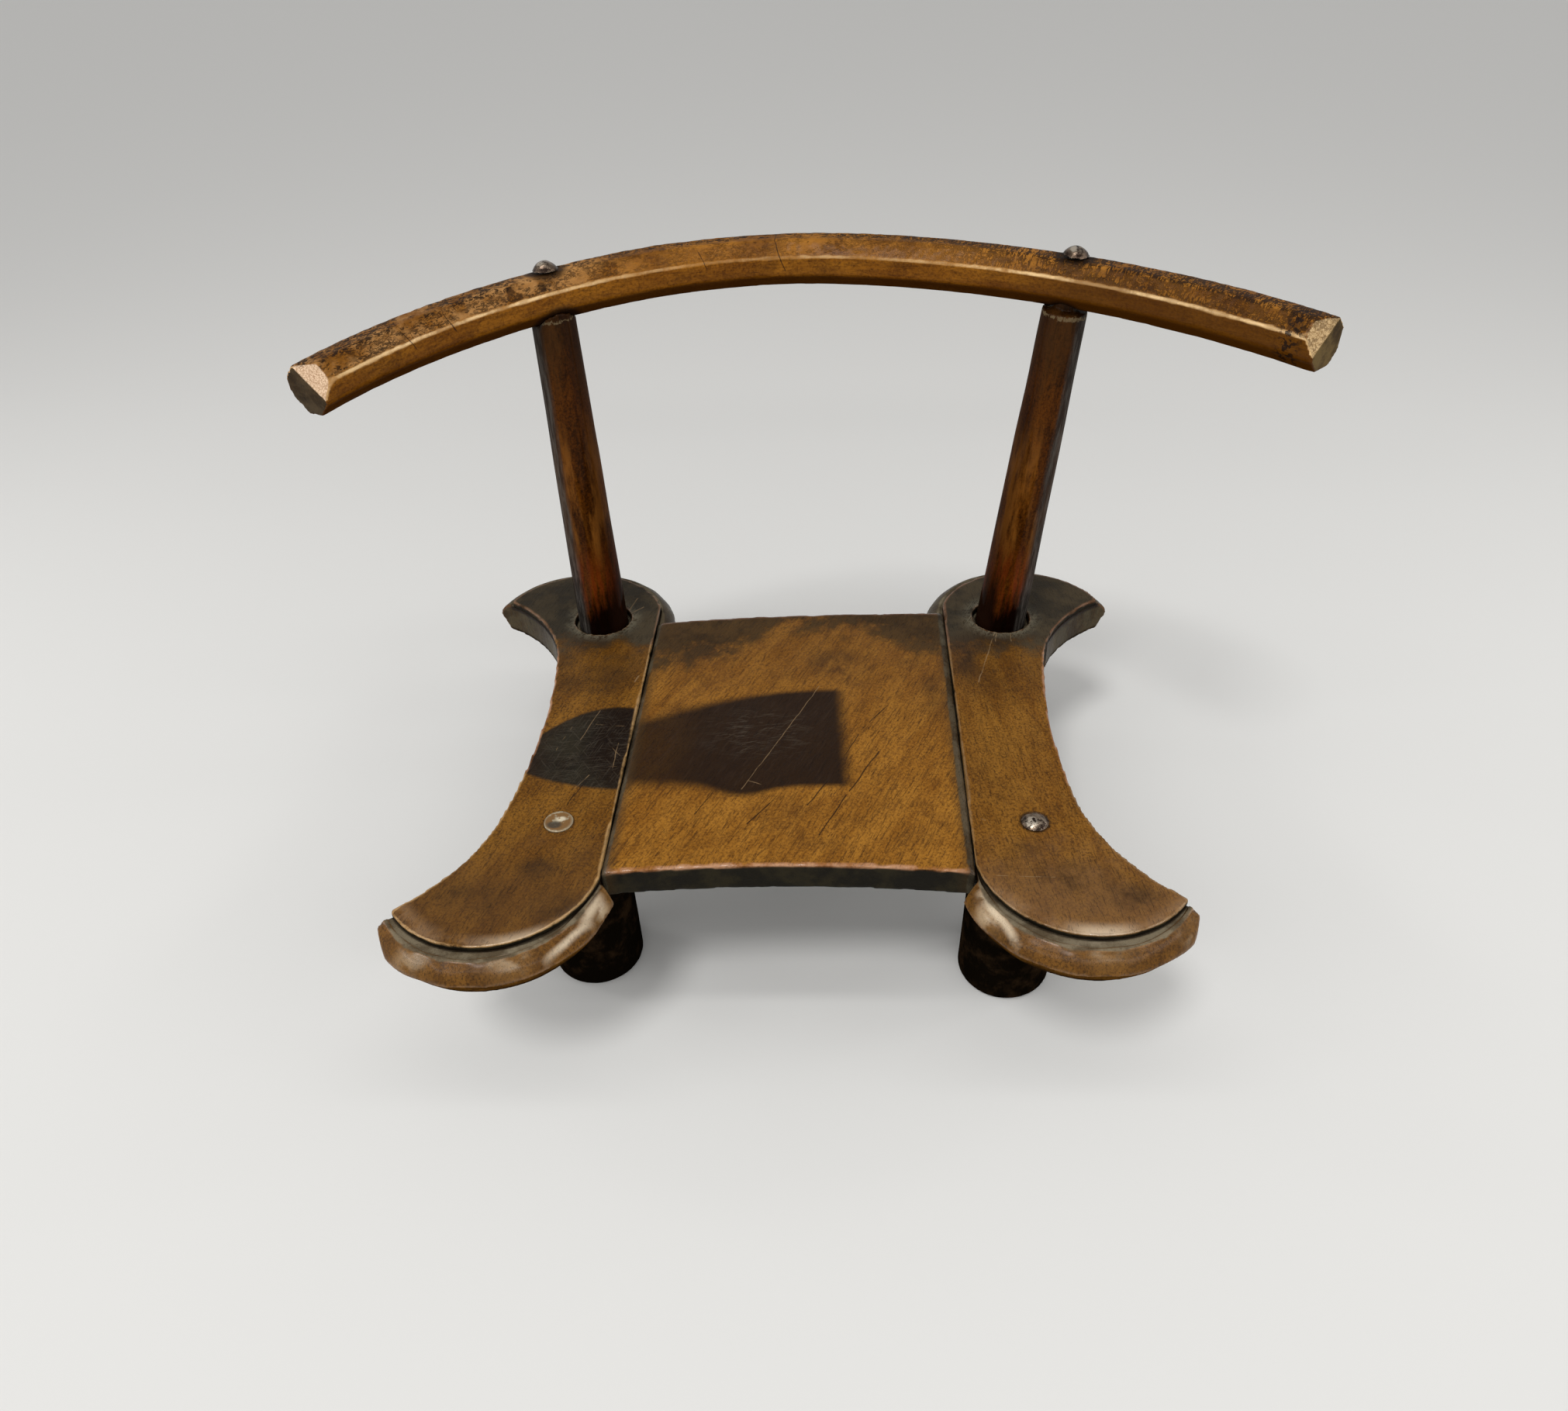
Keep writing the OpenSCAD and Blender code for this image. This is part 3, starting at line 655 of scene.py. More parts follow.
def board_finish(name, role):
    """The seat boards: golden brown and polished on top, nearly black at the back and below, with painted
    highlights along their edges and on the planks' rolled front ends.
    """
    f = Finish(name)
    light, mid, dark = BOARD_TONES[role]
    streaky, gritty = (1.0, 1.0) if role == "panel" else (0.7, 1.25)
    colour, streak, pore = f.old_wood(light, mid, dark, streaky=streaky, gritty=gritty)
    blotch = f.noise(f.place, 34, detail=6, rough=0.68)
    ragged = f.times(f.plus(blotch, -0.5), 0.1)
    dusty = f.mottled(blotch, 0.4, 0.6, (42, 38, 29), (64, 56, 42))
    if role == "panel":
        colour = f.over(colour, (86, 54, 22), f.rise(f.plus(f.y, ragged), -0.06, 0.12), 0.42)
        dashes = f.rise(f.grained(640, 52, detail=2, rough=0.5), 0.57, 0.64)
        colour = f.over(colour, (66, 40, 16), dashes, f.rise(blotch, 0.36, 0.56), 0.5)
        corner = f.plus(f.times(f.rise(f.x, -0.02, -0.09), 0.045), f.times(f.rise(f.x, 0.01, 0.11), 0.04))
        back = f.rise(f.plus(f.y, corner, f.times(ragged, 1.3)), 0.122, 0.154)
        colour = f.over(colour, f.mottled(blotch, 0.4, 0.62, (34, 26, 14), (62, 47, 28)), back, 0.88)
    else:
        colour = f.over(colour, (66, 40, 14), f.rise(f.plus(f.y, ragged), 0.0, 0.11), 0.4)
        back = f.rise(f.plus(f.y, ragged), 0.09, 0.124)
        colour = f.over(colour, dusty, back, 0.95)
        front = f.rise(f.plus(f.y, f.times(ragged, 1.4)), -0.1, -0.19)
        tip = (82, 56, 32) if role == "left" else (108, 80, 54)
        colour = f.over(colour, tip, front, 0.55)
        colour = f.over(colour, (56, 36, 22), front, f.rise(blotch, 0.5, 0.66), 0.5)
    for centre, reach, strength in SMUDGES[role]:
        shade = f.times(f.smudge(centre, reach, 0.8), f.rise(blotch, 0.3, 0.62), strength)
        colour = f.over(colour, (46, 32, 20), shade)
    if role != "right":
        patch = dark_patch(f, role == "left")
        deep = f.mottled(streak, 0.5, 0.72, (29, 17, 9), (42, 29, 20))
        haze = f.most(f.hatch(80, 0.6), f.hatch(100, 0.62), f.hatch(52, 0.64))
        hazy_place = ((-42, -8), (58, 40), 0.7) if role == "panel" else ((-168, -30), (60, 70), 0.6)
        hazy = f.smudge(*hazy_place)
        if role == "left":
            deep = f.over(deep, f.mottled(blotch, 0.35, 0.6, (13, 12, 8), (34, 34, 26)), hazy, 0.8)
            black = f.times(f.smudge((-147, -14), (36, 72), 0.6), f.rise(blotch, 0.15, 0.35))
            deep = f.over(deep, (13, 6, 4), black, 0.95)
            haze = f.most(haze, f.times(f.hatch(20, 0.6), 0.8), f.times(f.hatch(-35, 0.62), 0.9))
        deep = f.over(deep, (94, 86, 74), haze, hazy, 0.4 if role == "panel" else 0.28)
        fade = f.calc("MULTIPLY_ADD", f.rise(f.x, -0.08, -0.125), -0.07, 0.97) if role == "panel" else 0.97
        colour = f.over(colour, deep, patch, fade)
    top = f.rise(f.facing[2], 0.45, 0.8)
    side_tone = f.mottled(blotch, 0.42, 0.6, (22, 19, 12), (40, 35, 22))
    colour = f.over(colour, side_tone, f.rest(top))
    # Pale top edges: partly wear, partly a painted highlight; the pale line on a plank's edge by the joint
    # is a painted highlight
    worn_lit_edge = f.times(f.rise(f.bend, 0.025, 0.07), f.rise(f.facing[2], 0.0, 0.5))
    edge_wear_and_highlight = f.mix(back, f.mottled(blotch, 0.42, 0.6, (146, 92, 48), (184, 136, 100)), (104, 64, 36))
    if role != "panel":
        by_joint = f.times(f.rise(f.close, 0.1, 0.5), f.calc("MULTIPLY_ADD", back, -0.85, 1))
        edge_wear_and_highlight = f.mix(by_joint, edge_wear_and_highlight, (184, 144, 90) if role == "left" else (138, 102, 56))
    colour = f.over(colour, edge_wear_and_highlight, worn_lit_edge, f.rise(blotch, 0.3, 0.5), 0.75)
    nearby = f.plus(f.close, f.times(ragged, 2.4))
    if role == "panel":
        colour = f.over(colour, (66, 50, 30), f.rise(nearby, 0.1, 0.75), 0.6)
        wide = f.calc("MULTIPLY_ADD", f.rise(f.x, -0.02, 0.02), -0.16, 0.68)
        bevel = f.rise(nearby, wide, f.plus(wide, 0.12))
        colour = f.over(colour, f.mottled(blotch, 0.4, 0.6, (38, 34, 26), (78, 72, 57)), bevel, 0.8)
    touching = (0.96, 1.08) if role == "panel" else (0.9, 1.02)
    hidden = f.times(f.rise(nearby, *touching), 0.9)
    if role != "panel":
        hidden = f.times(hidden, f.rest(f.times(worn_lit_edge, 1.4)))
    colour = f.over(colour, (20, 13, 8), hidden)
    if role != "panel":
        foot = POST_FEET[role]
        far = f.vector("LENGTH", f.flat(f.vector("SUBTRACT", f.swayed(), (*foot, 0))))
        rim = f.rise(f.calc("ABSOLUTE", f.plus(far, -HOLE_R - 0.001)), 0.0036, 0.0008)
        wider = f.times(f.rise(far, HOLE_R + 0.02, HOLE_R), f.rise(blotch, 0.32, 0.5))
        scraped = f.rise(f.noise(f.place, 300, detail=4, rough=0.7), 0.42, 0.54)
        scraped = f.most(f.times(scraped, 0.75), f.hatch(25, 0.56), f.hatch(-60, 0.6))
        dust = f.times(f.most(rim, f.times(wider, 0.75)), scraped, top, 0.9)
        colour = f.over(colour, (134, 128, 108), dust)
        reach = f.vector("LENGTH", f.flat(f.vector("SUBTRACT", f.place, (*PLANK_ENDS[role], 0))))
        rolled = f.times(f.rise(reach, PLANK_END_R - 0.012, PLANK_END_R), f.rise(f.y, -0.15, -0.18), top)
        # A painted sheen and a brighter painted highlight on the rolled-over front end
        sheen = f.times(rolled, f.rise(blotch, 0.36, 0.56))
        colour = f.over(colour, (172, 136, 98), sheen, 0.28)
        bright = f.smudge(*END_GLEAMS[role], 0.9)
        colour = f.over(colour, (222, 200, 170), rolled, bright, 0.65)
    for start, end, width in SCRATCHES[role]:
        colour = f.over(colour, (142, 116, 84), f.line(start, end, width * 0.6), 0.55)
    for start, end, width in CRACKS[role]:
        colour = f.over(colour, (30, 18, 10), f.line(start, end, width), 0.85)
    roughness = f.calc("MULTIPLY_ADD", f.rise(blotch, 0.35, 0.7), 0.2, 0.34)
    roughness = f.plus(roughness, f.times(f.rest(top), 0.25), f.times(back, 0.1))
    height = f.plus(f.times(streak, 0.6), f.times(pore, -0.5), f.times(blotch, 0.7))
    coat = f.plus(0.02, f.times(worn_lit_edge, f.rise(blotch, 0.35, 0.55), 0.7))
    if role != "panel":
        coat = f.plus(coat, f.times(sheen, 0.5))
    return f.close_off(colour, roughness, height, 0.0008, coat=coat, coat_rough=0.16, gloss=0.07)


def leg_finish(side, front):
    """The legs: a glossy brown lip with painted highlights, a dusty ledge and a nearly black column; faces
    looking down get painted shade.
    """
    f = Finish(f"{side}_{'front' if front else 'rear'}_leg_wood")
    colour, streak, pore = f.old_wood((114, 76, 28), (88, 56, 18), (50, 30, 8), streaky=0.3)
    blotch = f.noise(f.place, 42, detail=6, rough=0.66)
    if front:
        # Painted highlights on the lip: broad pale sheens, brighter cores and sharp glints
        band = f.times(f.rise(f.facing[2], 0.1, 0.55), f.rise(f.facing[2], 0.97, 0.75))
        streaks = f.rise(f.noise(f.stretch(f.place, 50, 50, 110), 1, detail=3, rough=0.5), 0.42, 0.58)
        highlight_cores = 0.0
        for centre, strength in zip(LIP_SHEENS[side], (1.0, 0.8, 0.4)):
            wide, core = f.smudge(centre, (27, 24), 0.9), f.smudge(centre, (21, 12), 0.9)
            colour = f.over(colour, (142, 108, 66), wide, band, 0.4 * strength)
            highlight_cores = f.plus(highlight_cores, f.times(core, band, streaks, strength))
        colour = f.over(colour, (210, 188, 154), highlight_cores, 0.6)
        for start, end, width in LIP_GLINTS[side]:
            uneven = f.times(f.rise(f.facing[2], 0.0, 0.3), f.rise(blotch, 0.3, 0.46))
            glint = f.times(f.gleam(start, end, width), uneven)
            colour = f.over(colour, (222, 202, 172), glint, 0.75)
        # Pale edges on the lip: partly wear, partly a painted highlight
        worn_lit_edge = f.times(f.rise(f.bend, 0.02, 0.07), f.rise(f.facing[2], -0.2, 0.4))
        colour = f.over(colour, (150, 112, 70), worn_lit_edge, f.rise(blotch, 0.38, 0.55), 0.6)
        low_band = f.rise(f.plus(f.z, f.times(f.plus(blotch, -0.5), 0.01)), 0.13, 0.1235)
        underside = f.mottled(blotch, 0.45, 0.6, (40, 24, 10), (88, 56, 20))
        colour = f.over(colour, underside, low_band, 0.8)
    else:
        colour = f.over(colour, f.mottled(blotch, 0.4, 0.6, (36, 35, 27), (64, 62, 49)), 0.8)
        colour = f.over(colour, (104, 66, 36), f.rise(f.bend, 0.03, 0.08), 0.5)
    ledge = f.times(f.rise(f.facing[2], 0.85, 0.95), f.rise(f.z, *LEDGE_START))
    colour = f.over(colour, f.mottled(blotch, 0.4, 0.6, (86, 76, 60), (122, 112, 92)), ledge, 0.9)
    low = f.rise(f.z, *COLUMN_END)
    column = f.mottled(blotch, 0.46, 0.66, (13, 9, 5), (40, 28, 17))
    colour = f.over(colour, column, low)
    # Faces looking down are darker: painted shade
    below = f.rise(f.facing[2], -0.4, -0.8)
    colour = f.over(colour, (22, 16, 10), below, 0.9)
    # Darker where other pieces are near: grime and painted contact shade
    grime_and_shade = f.rise(f.close, f.plus(0.7, f.times(ledge, 0.2)), f.plus(0.92, f.times(ledge, 0.08)))
    colour = f.over(colour, (20, 12, 7), grime_and_shade, 0.92)
    roughness = f.plus(0.3, f.times(ledge, 0.4), f.times(low, 0.35), f.times(f.rise(blotch, 0.4, 0.7), 0.14))
    height = f.plus(f.times(streak, 0.4), f.times(pore, -0.3), f.times(blotch, 0.6))
    open_up = f.times(f.rest(low), f.rest(ledge), f.rise(f.facing[2], -0.25, 0.15))
    polished = f.plus(0.12, f.times(f.rise(f.bend, 0.01, 0.05), 0.5))
    if front:
        polished = f.plus(polished, f.times(highlight_cores, 0.6))
    coat = f.times(open_up, polished, 1.0 if front else 0.1)
    gloss = f.times(open_up, 0.08)
    return f.close_off(colour, roughness, height, 0.0008, coat=coat, coat_rough=0.2, gloss=gloss)


def post_finish(side):
    """The posts: dark red-brown under an old gloss, black at the foot from dirt and painted shade, with a
    painted grey sheen outside and painted red highlights low down.
    """
    f = Finish(f"{side}_post_wood")
    colour, streak, pore = f.old_wood((90, 48, 8), (56, 26, 3), (22, 9, 2), fine=0.8)
    height_up = f.split(f.grain)[1]
    blotch = f.grained(80, 14, detail=5, rough=0.66)
    uneven = f.plus(blotch, -0.5)
    ragged = f.plus(height_up, f.times(uneven, 0.1))
    belly = f.times(f.rise(ragged, 0.06, 0.12), f.rise(height_up, 0.21, 0.15))
    colour = f.over(colour, (126, 78, 28), belly, f.rise(blotch, 0.4, 0.6), 0.75)
    # Painted reddish highlight stripes low on the post
    red_highlight = f.times(f.rise(height_up, 0.1, 0.05), f.rise(streak, 0.4, 0.6))
    colour = f.over(colour, (120, 48, 14), red_highlight, 0.5)
    # Black at the foot: dirt, and painted shade where the post goes into the seat
    foot = f.rise(ragged, 0.066, 0.024)
    colour = f.over(colour, (6, 2, 1), foot, 0.98)
    top = f.rise(f.plus(height_up, f.times(uneven, 0.12)), 0.2, 0.27)
    colour = f.over(colour, f.mottled(blotch, 0.4, 0.6, (22, 12, 4), (58, 36, 14)), top, 0.75)
    # A painted grey sheen on the outer side, standing in for a reflection
    outer_sheen = f.rise(f.times(f.facing[0], -1 if side == "left" else 1), 0.3, 0.62)
    inner = f.rise(f.times(f.facing[0], 1 if side == "left" else -1), 0.35, 0.8)
    colour = f.over(colour, f.mottled(streak, 0.4, 0.65, (38, 34, 31), (76, 72, 67)), outer_sheen, 0.85)
    colour = f.over(colour, (40, 22, 12), inner, 0.45)
    reach = 0.0016 if side == "right" else 0.001
    jagged = f.plus(f.noise(f.place, 210, detail=4, rough=0.7), -0.5)
    off = f.calc("ABSOLUTE", f.plus(height_up, f.times(jagged, 0.01), -PALE_RING))
    broken = f.times(f.rise(off, reach, reach * 0.3), f.rise(streak, 0.38, 0.5))
    colour = f.over(colour, (112, 96, 70), broken, 0.7)
    roughness = f.calc("MULTIPLY_ADD", f.rise(blotch, 0.35, 0.7), 0.2, 0.24)
    height = f.plus(f.times(streak, 0.8), f.times(pore, -0.4), f.times(blotch, 0.4))
    return f.close_off(colour, roughness, height, 0.0006, coat=0.09, coat_rough=0.12, gloss=0.0)


# How far out on the rail its cut ends begin, and where a crazed ring runs round its right arm, in metres
RAIL_ENDS = (0.29, 0.3)
CRAZED_RING = 0.381
# Pits in the rail's top: how far out of its middle line and how far along it, in metres
RAIL_PITS = ((-0.009, -0.2134), (-0.012, -0.19))
# Cracks across the rail: how far along it, and between which heights
RAIL_CRACKS = ((0.0, -0.004, 0.02), (-0.262, 0.001, 0.016), (-0.297, 0.0, 0.016), (-0.06, 0.002, 0.016))
# The tones of the rail's ends: dim and clear on the end face, shaded and fresh on the sloping cut
END_TONES = {
    "left": ((36, 32, 24), (74, 64, 48), (176, 142, 112), (236, 206, 174)),
    "right": ((52, 41, 24), (104, 86, 54), (140, 112, 74), (206, 176, 132)),
}


def rail_finish():
    """The rail: honey brown and polished, its top crazed dark, its ends pale where they were cut, with a
    painted highlight along its ridge and painted shade below.
    """
    f = Finish("rail_wood")
    colour, streak, _ = f.old_wood((150, 95, 22), (116, 68, 10), (58, 29, 3), gritty=0.7)
    out, along, up = f.split(f.grain)
    blotch = f.noise(f.place, 38, detail=6, rough=0.66)
    above = f.rise(f.facing[2], 0.5, 0.8)
    behind = f.rise(f.facing[1], 0.0, 0.6)
    crazed = f.most(above, f.times(behind, 0.7))
    far_arm = f.rise(f.calc("ABSOLUTE", along), 0.1, 0.2)
    worn_light = f.mix(f.rise(along, -0.1, -0.2), (162, 108, 42), (184, 138, 86))
    worn_top = f.mix(f.rise(blotch, 0.38, 0.62), (112, 70, 24), worn_light)
    colour = f.over(colour, worn_top, crazed, 0.75)
    fleck = f.rise(f.grained(520, 240, detail=4, rough=0.7, twist=1.2), 0.5, 0.55)
    speck = f.rise(f.grained(250, 150, detail=5, rough=0.75), 0.56, 0.61)
    stroke = f.rise(f.grained(150, 560, detail=3, rough=0.65, twist=0.8), 0.51, 0.55)
    scatter = f.rise(f.grained(70, 30, detail=4), 0.38, 0.52)
    deeper = f.plus(0.35, f.times(far_arm, 0.4), f.times(f.rise(out, -0.006, 0.004), 0.65))
    marks = f.most(f.times(fleck, scatter), speck, f.times(stroke, f.rise(along, 0.02, 0.14)))
    # A pale grey along the back of the top: partly dust, partly a painted sheen
    dust_and_sheen_back = f.times(f.rise(out, 0.0, 0.012), crazed, far_arm, f.rise(blotch, 0.36, 0.56))
    colour = f.over(colour, (122, 104, 94), dust_and_sheen_back, 0.4)
    dark_spots = f.calc("MULTIPLY", f.times(marks, crazed, deeper), 1.35, clamp=True)
    colour = f.over(colour, (32, 20, 13), dark_spots, 0.92)
    lower = f.times(f.rise(up, 0.004, -0.012), f.rest(crazed))
    colour = f.over(colour, (74, 38, 6), lower, 0.6)
    # Faces looking down are darker: painted shade
    under = f.rise(f.facing[2], -0.15, -0.7)
    colour = f.over(colour, (52, 28, 8), under, 0.75)
    right_arm = f.times(f.rise(along, 0.12, 0.24), f.rest(crazed))
    colour = f.over(colour, (70, 38, 4), right_arm, 0.7)
    # Darker where other pieces are near: grime and painted contact shade
    grime_and_shade = f.rise(f.close, 0.45, 0.9)
    colour = f.over(colour, (26, 15, 8), grime_and_shade, 0.9)
    # Along the ridge a golden tone, partly wear and partly painted highlight, and a pale painted highlight
    # on the arris itself
    ridge = f.times(f.rise(f.facing[2], 0.08, 0.25), f.rise(f.facing[2], 0.66, 0.5), f.rest(behind))
    colour = f.over(colour, (172, 114, 38), ridge, 0.3)
    shine = f.rise(f.grained(30, 34, detail=5, rough=0.65), 0.4, 0.58)
    glints = f.plus(0.3, f.times(shine, 0.7))
    ridge_highlight = f.times(f.rise(f.bend, 0.012, 0.045), ridge, glints, f.plus(0.45, f.times(far_arm, 0.55)))
    colour = f.over(colour, (238, 200, 142), ridge_highlight, 0.85)
    for aside, spot in RAIL_PITS:
        off = f.stretch(f.vector("SUBTRACT", f.grain, (aside, spot, 0)), 1, 0.8, 0)
        pit = f.rise(f.plus(f.vector("LENGTH", off), f.times(f.plus(blotch, -0.5), 0.01)), 0.0032, 0.0016)
        colour = f.over(colour, (30, 18, 10), pit, above, 0.85)
    crack_width = f.plus(0.0005, f.times(f.rise(blotch, 0.4, 0.7), 0.0006))
    for spot, low, high in RAIL_CRACKS:
        skewed = f.plus(along, f.times(up, 0.4), f.times(f.plus(blotch, -0.5), 0.006), -spot)
        line = f.rise(f.calc("ABSOLUTE", skewed), crack_width, 0.0)
        inside = f.times(f.rise(up, low, low + 0.003), f.rise(up, high, high - 0.003))
        colour = f.over(colour, (24, 14, 8), line, inside, 0.9)
    ring = f.rise(f.calc("ABSOLUTE", f.plus(along, -CRAZED_RING)), 0.012, 0.003)
    craquelure = f.rise(f.noise(f.place, 300, detail=3, rough=0.6), 0.51, 0.55)
    colour = f.over(colour, (28, 17, 11), ring, craquelure, 0.9)
    cut_edge = 0.0
    for side, sign in (("left", -1), ("right", 1)):
        beyond = f.rise(f.times(f.x, sign), *RAIL_ENDS)
        face = f.times(f.looks(END_FACE[side], 0.9, 0.96), beyond)
        cut = f.times(f.looks(END_CUT[side], 0.88, 0.95), beyond)
        dim, clear, shaded, fresh = END_TONES[side]
        grey = f.mottled(blotch, 0.4, 0.62, dim, clear)
        sawn = f.noise(f.place, 1100, detail=3, rough=0.6)
        pale = f.mottled(sawn, 0.34, 0.66, shaded, fresh)
        if side == "right":
            pale = f.mix(f.times(craquelure, 0.5), pale, (70, 50, 30))
        colour = f.over(colour, grey, face, 0.92)
        colour = f.over(colour, pale, cut, 0.92)
        cut_edge = f.plus(cut_edge, face, cut)
    patchy = f.times(f.rise(blotch, 0.4, 0.7), 0.14)
    roughness = f.plus(0.2, f.times(crazed, 0.3), f.times(cut_edge, 0.5), patchy)
    height = f.plus(f.times(streak, 0.5), f.times(dark_spots, -1.0), f.times(blotch, 0.4))
    polished = f.plus(0.05, f.times(ridge_highlight, 0.6))
    coat = f.times(f.rest(f.times(above, 0.8)), f.rest(cut_edge), f.rest(under), polished)
    gloss = f.times(f.rest(under), 0.06)
    return f.close_off(colour, roughness, height, 0.0007, coat=coat, coat_rough=0.12, gloss=gloss)


def iron_finish():
    """Hammered iron, dark brown in the hollows, paler on top from wear and a painted highlight, with a
    painted glint and painted shade round its lower side.
    """
    f = Finish("hammered_iron")
    spot = f.noise(f.place, 260, detail=4, rough=0.6)
    colour = f.mottled(spot, 0.4, 0.64, (46, 34, 27), (96, 80, 66))
    # Faces looking up are paler: partly wear, partly a painted highlight
    top = f.times(f.rise(f.facing[2], 0.6, 0.95), f.rise(spot, 0.38, 0.55))
    colour = f.over(colour, (156, 140, 122), top, 0.6)
    # A painted glint near the top of each head
    glint = f.times(f.looks((-0.25, -0.3, 0.92), 0.93, 0.985), f.rise(spot, 0.4, 0.5))
    colour = f.over(colour, (206, 194, 176), glint, 0.7)
    # Darker round the lower side of each head: painted shade
    colour = f.over(colour, (24, 17, 13), f.rise(f.facing[2], 0.45, 0.1))
    colour = f.over(colour, (26, 18, 13), f.rise(f.close, 0.95, 1.0))
    roughness = f.calc("MULTIPLY_ADD", spot, 0.3, 0.1)
    return f.close_off(colour, roughness, spot, 0.0004, metal=0.9)


def worn_nail_finish():
    """A nail head worn flat and pale round its rim, with a tarnished middle and a painted glint."""
    f = Finish("worn_nail_metal")
    spot = f.noise(f.place, 160, detail=4, rough=0.6)
    centre = np.mean([v.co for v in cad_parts["seat_nail_flat"].data.vertices], axis=0) / MM
    rim = f.smudge(centre, (11.5, 11.5), 0.3)
    colour = f.mix(rim, (168, 156, 130), (128, 92, 48))
    colour = f.over(colour, (176, 166, 140), f.rise(spot, 0.5, 0.58), 0.7)
    stain = f.smudge((centre[0] - 2.5, centre[1] - 3.5), (7, 4.5), 0.5)
    colour = f.over(colour, (60, 56, 46), stain, 0.85)
    # A painted glint on the nail head
    glint = f.smudge((centre[0] + 1.5, centre[1] + 2.5), (5, 3.5), 0.6)
    colour = f.over(colour, (226, 214, 186), glint, f.rise(spot, 0.42, 0.5), 0.85)
    roughness = f.calc("MULTIPLY_ADD", spot, 0.3, 0.3)
    return f.close_off(colour, roughness, spot, 0.0003, metal=0.35)


worn("seat_panel", "seat_board", board_finish("seat_board_wood", "panel"),
    turned_grain(PANEL_GRAIN), cell=0.0017, passes=5, shape=board_shape)
for side in ("left", "right"):
    worn(f"side_plank_{side}", f"{side}_plank", board_finish(f"{side}_plank_wood", side),
        turned_grain(PLANK_GRAIN[side]), cell=0.0016, passes=4, shape=plank_shape(side))
    worn(f"front_leg_{side}", f"{side}_front_leg", leg_finish(side, True),
        upright_grain, cell=0.0012, passes=5, shape=lip_shape(side))
    worn(f"rear_leg_{side}", f"{side}_rear_leg", leg_finish(side, False),
        upright_grain, cell=0.0014, passes=3, shape=rear_leg_shape)
    worn(f"back_post_{side}", f"{side}_post", post_finish(side),
        post_grain(side), cell=0.0015, passes=4, shape=post_shape)
worn("back_rail", "rail", rail_finish(), rail_grain, cell=0.0014, passes=12, shape=rail_shape)
iron = iron_finish()
for node, name in (("rail_nails", "rail_nail_heads"), ("seat_nail_domed", "right_seat_nail")):
    worn(node, name, iron, upright_grain, cell=0.0006, passes=3, shape=hammered)
worn("seat_nail_flat", "left_seat_nail", worn_nail_finish(),
    upright_grain, cell=0.0005, passes=2)


def plain(name, colour, roughness):
    """A material of one even colour."""
    material = bpy.data.materials.new(name)
    material.use_nodes = True
    shader = material.node_tree.nodes["Principled BSDF"]
    shader.inputs["Base Color"].default_value = colour
    shader.inputs["Roughness"].default_value = roughness
    return material


def placed(name, data, place):
    """A new object at a place in the scene."""
    holder = bpy.data.objects.new(name, data)
    holder.location = place
    bpy.context.scene.collection.objects.link(holder)
    return holder


def stage_floor(reach):
    """A pale floor that catches the shadow."""
    mesh = bpy.data.meshes.new("floor")
    corners = [(-reach, -reach, 0), (reach, -reach, 0), (reach, reach, 0), (-reach, reach, 0)]
    mesh.from_pydata(corners, [], [(0, 1, 2, 3)])
    floor = placed("floor", mesh, (0, 0, 0))
    floor.data.materials.append(plain("floor_paper", tone(222, 221, 218), 0.9))


def lit(name, kind, place, target, energy):
    """A lamp that looks from a place to a target."""
    lamp = bpy.data.lights.new(name, kind)
    lamp.energy = energy
    holder = placed(name, lamp, place)
    holder.rotation_mode = "QUATERNION"
    holder.rotation_quaternion = (Vector(target) - Vector(place)).to_track_quat("-Z", "Y")
    return lamp


def soft_lamp(name, place, target, size, power):
    """A broad rectangular lamp."""
    lamp = lit(name, "AREA", place, target, power)
    lamp.shape = "RECTANGLE"
    lamp.size, lamp.size_y = size


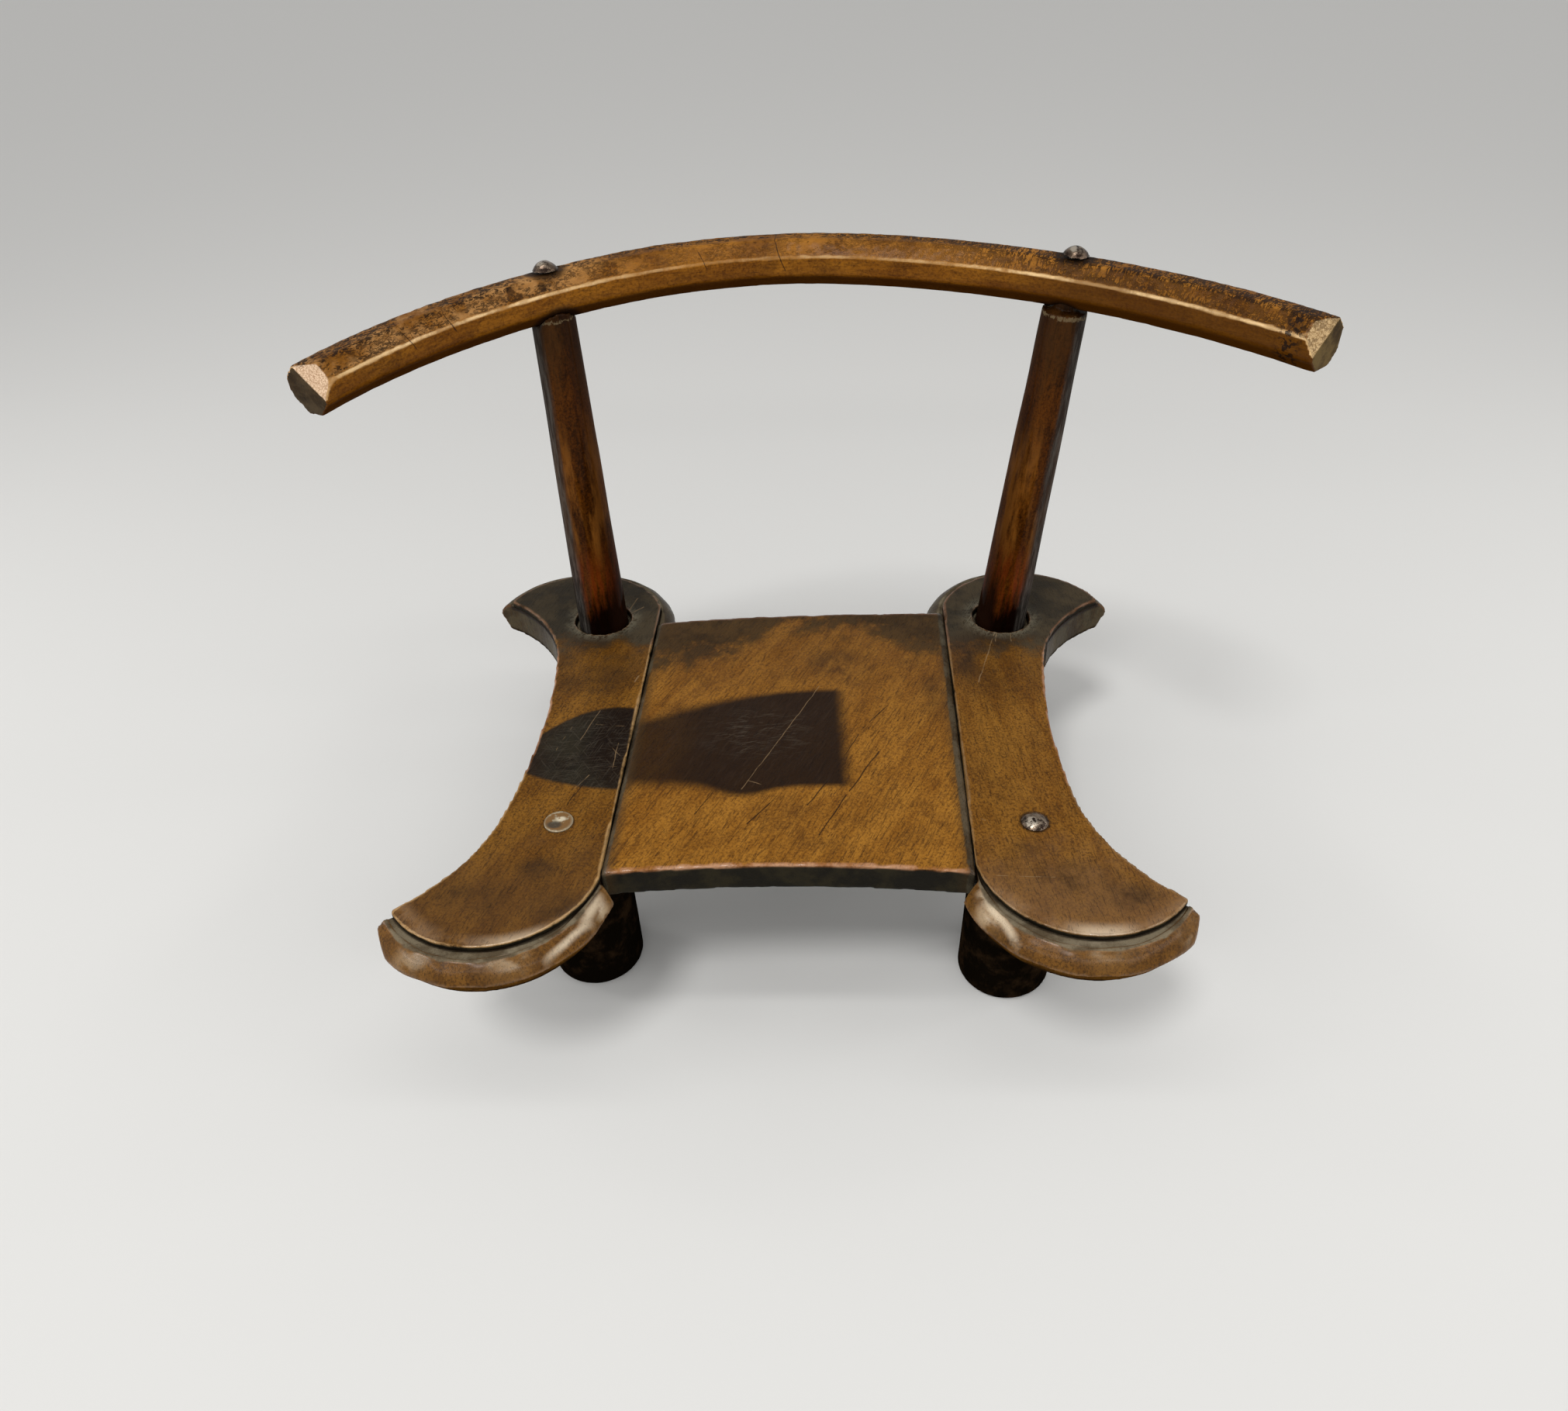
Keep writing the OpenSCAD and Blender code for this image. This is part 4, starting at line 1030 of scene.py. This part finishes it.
def camera():
    """The camera stands in front of the chair and looks down on it."""
    yawed = Matrix.Rotation(CAMERA_YAW, 3, "Z")
    pitched = Matrix.Rotation(-CAMERA_PITCH, 3, "X")
    rolled = Matrix.Rotation(CAMERA_ROLL, 3, "Y")
    right, forward, up = (yawed @ pitched @ rolled).col
    data = bpy.data.cameras.new("camera")
    data.sensor_width = SENSOR_WIDTH
    data.lens = SENSOR_WIDTH * FOCAL_SHARE
    data.clip_start = 0.01
    holder = placed("camera", data, CAMERA_PLACE)
    columns = Matrix((right, up, -forward)).transposed()
    holder.matrix_world = Matrix.Translation(CAMERA_PLACE) @ columns.to_4x4()
    bpy.context.scene.camera = holder


def world_light(strength, shown):
    """An even grey light all round; seen and mirrored it is as pale as the far floor."""
    world = bpy.data.worlds.new("studio")
    bpy.context.scene.world = world
    world.use_nodes = True
    tree = world.node_tree
    background = tree.nodes["Background"]
    background.inputs["Color"].default_value = (1, 1, 1, 1)
    path = tree.nodes.new("ShaderNodeLightPath")
    seen = path.outputs["Is Camera Ray"]
    for kind in ("Is Glossy Ray", "Is Transmission Ray"):
        either = tree.nodes.new("ShaderNodeMath")
        either.operation = "MAXIMUM"
        tree.links.new(seen, either.inputs[0])
        tree.links.new(path.outputs[kind], either.inputs[1])
        seen = either.outputs[0]
    pick = tree.nodes.new("ShaderNodeMix")
    pick.data_type = "FLOAT"
    pick.inputs[2].default_value = strength
    pick.inputs[3].default_value = shown
    tree.links.new(seen, pick.inputs[0])
    tree.links.new(pick.outputs[0], background.inputs["Strength"])


def broad_sun(place, target, spread, strength):
    """One even light over the whole floor, with soft shadows."""
    lamp = lit("sun", "SUN", place, target, strength)
    lamp.angle = math.radians(spread)


stage_floor(reach=12)
camera()
world_light(strength=0.3, shown=0.56)
broad_sun(place=(-0.4, -0.75, 1.6), target=(0, 0, 0), spread=14, strength=1.05)
soft_lamp("front_strip", place=(0, -1.9, 1.75), target=(0, 0.05, 0.3), size=(3.2, 0.2), power=15)
soft_lamp("top_strip", place=(0, -0.3, 1.9), target=(0, 0.0, 0.3), size=(3.2, 0.16), power=7)
for side in (-1, 1):
    soft_lamp("side", place=(side * 1.6, -0.85, 1.2), target=(0, 0.05, 0.35), size=(1.4, 0.24), power=6)
    soft_lamp("flank", place=(side * 1.5, 0.35, 0.9), target=(0, 0.1, 0.3), size=(0.25, 1.0), power=2)

bpy.context.scene.view_settings.view_transform = "Standard"
